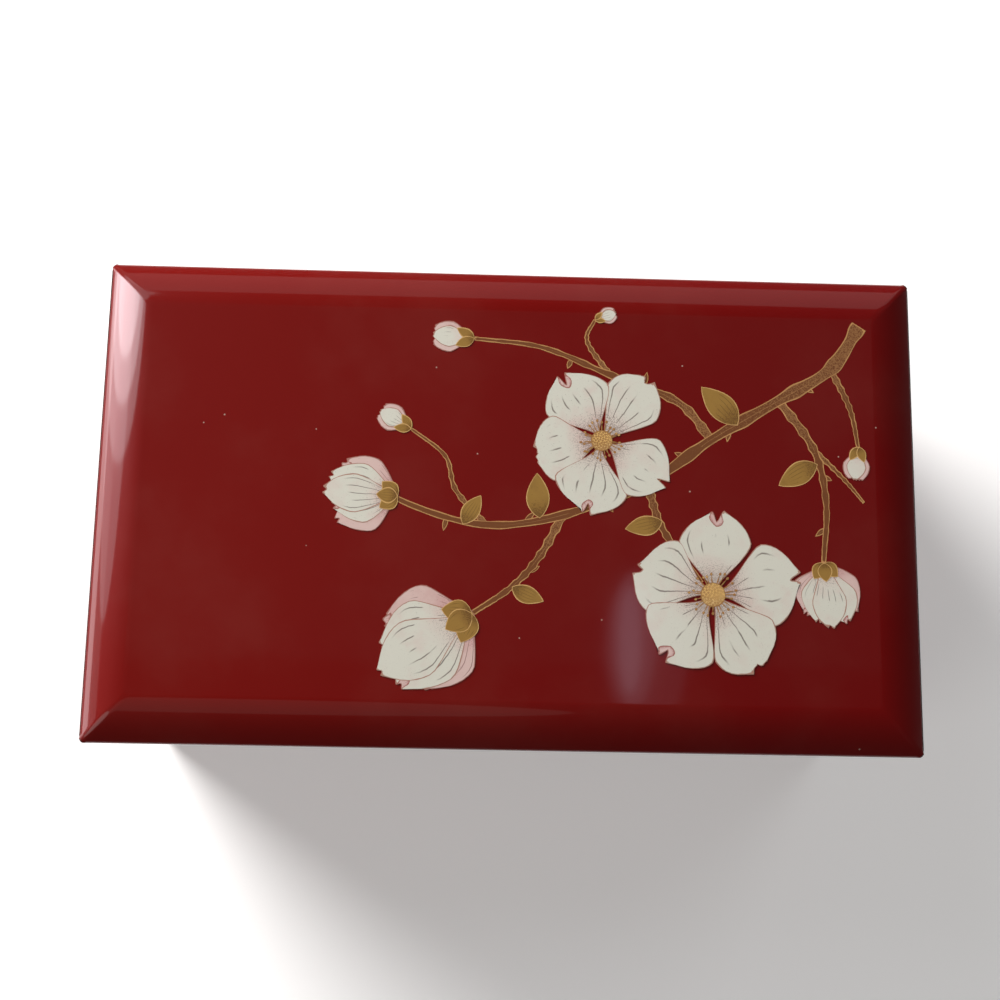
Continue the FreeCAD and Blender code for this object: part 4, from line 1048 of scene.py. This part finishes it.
def makeRingRolls():
    (left, right), (front, back) = rollShape["x"], rollShape["y"]
    pitch = (back - front) / rollShape["count"]
    half = (pitch - rollShape["gap"]) / 2
    start, length = left + rollShape["inset"], right - left - 2 * rollShape["inset"]
    for index in range(rollShape["count"]):
        bm = bmesh.new()
        centre = front + pitch * (index + 0.5)
        circle = bmesh.ops.create_circle(bm, segments=rollShape["sides"], radius=1.0, cap_ends=False)
        ring, edges = list(circle["verts"]), list(bm.edges)
        bmesh.ops.contextual_create(bm, geom=edges)
        for station in range(rollShape["stations"] + 1):
            share = station / rollShape["stations"]
            share = share - math.sin(2 * math.pi * share) / (2 * math.pi) * rollShape["crowd"]
            for vert, (y, z) in zip(ring, rollRing(half, share, index)):
                vert.co = placed(start + length * share, centre + y, z)
            if station < rollShape["stations"]:
                edges, ring = nextRing(bm, edges, ring)
        bmesh.ops.contextual_create(bm, geom=edges)
        name, node = "ringRoll" + str(index + 1), "ring_roll_" + str(index + 1)
        roll = makePiece(name, bm, redVelvet, "case", [node], sharp=75.0)


drawerPad = {"low": (-95.2, -55.2), "high": (95.2, 45.2), "base": 9.02, "top": 10.0, "puff": 0.7,
             "cells": (60, 34)}


def makeDrawerPad():
    bm = bmesh.new()
    addPad(bm, **drawerPad)
    pad = makePiece("drawerPad", bm, redVelvet, "drawer", ["drawer_lining"])


lidPad = {"outer": (99.7, 55.2), "window": (75.0, 36.0), "seat": (79.0, 40.0), "glass": 87.9, "roof": 90.45,
          "depth": 5.8, "fullness": 0.32, "steps": 18, "cuts": 40, "dents": 0.22}


def lidPadRows():
    # half sizes and height of each loop, from behind the glass, round the padding, to the outer rim
    (outX, outY), (inX, inY), seat = (lidPad[key] for key in ("outer", "window", "seat"))
    glass, roof = lidPad["glass"], lidPad["roof"]
    rows = [(*seat, roof), (*seat, glass), (inX, inY, glass)]
    for step in range(1, lidPad["steps"] + 1):
        share = (1 - math.cos(math.pi * step / lidPad["steps"])) / 2
        drop = lidPad["depth"] * math.sin(math.pi * (share * 0.985 + 0.005)) ** lidPad["fullness"]
        rows.append((inX + (outX - inX) * share, inY + (outY - inY) * share, roof - drop))
    rows.append((outX, outY, roof))
    return rows


def makeLidPad():
    # a padded frame round the mirror's window
    bm = bmesh.new()
    bmesh.ops.create_grid(bm, x_segments=1, y_segments=1, size=1.0)
    bmesh.ops.delete(bm, geom=bm.faces[:], context="FACES_ONLY")
    bmesh.ops.subdivide_edges(bm, edges=bm.edges[:], cuts=lidPad["cuts"])
    first = edges = list(bm.edges)
    ring = list(bm.verts)
    places = [(vert.co.x, vert.co.y) for vert in ring]
    rows = lidPadRows()
    for row, (halfX, halfY, z) in enumerate(rows):
        if row:
            edges, ring = nextRing(bm, edges, ring)
        soft = lidPad["dents"] if 2 < row < len(rows) - 2 else 0.0
        for vert, (u, v) in zip(ring, places):
            vert.co = placed(u * halfX, v * halfY, z + soft * noise.noise(Vector((u * 9, v * 7, row * 0.3))))
    bmesh.ops.bridge_loops(bm, edges=first + edges)
    pad = makePiece("lidPad", bm, redVelvet, "lid", ["lid_lining"], sharp=60.0)


feltShape = {"x": 105.5, "y": 61.0, "thick": 0.98, "soft": 0.3}


def makeBaseFelt():
    bm = bmesh.new()
    x, y = feltShape["x"], feltShape["y"]
    addBlock(bm, (-x, -y, 0.0), (x, y, feltShape["thick"]), feltShape["soft"])
    felt = makePiece("underFelt", bm, darkFelt, "case", ["base_felt"])


makeTrayLinings()
makeDividers()
makeRingRolls()
makeDrawerPad()
makeLidPad()
makeBaseFelt()
print("linings made")
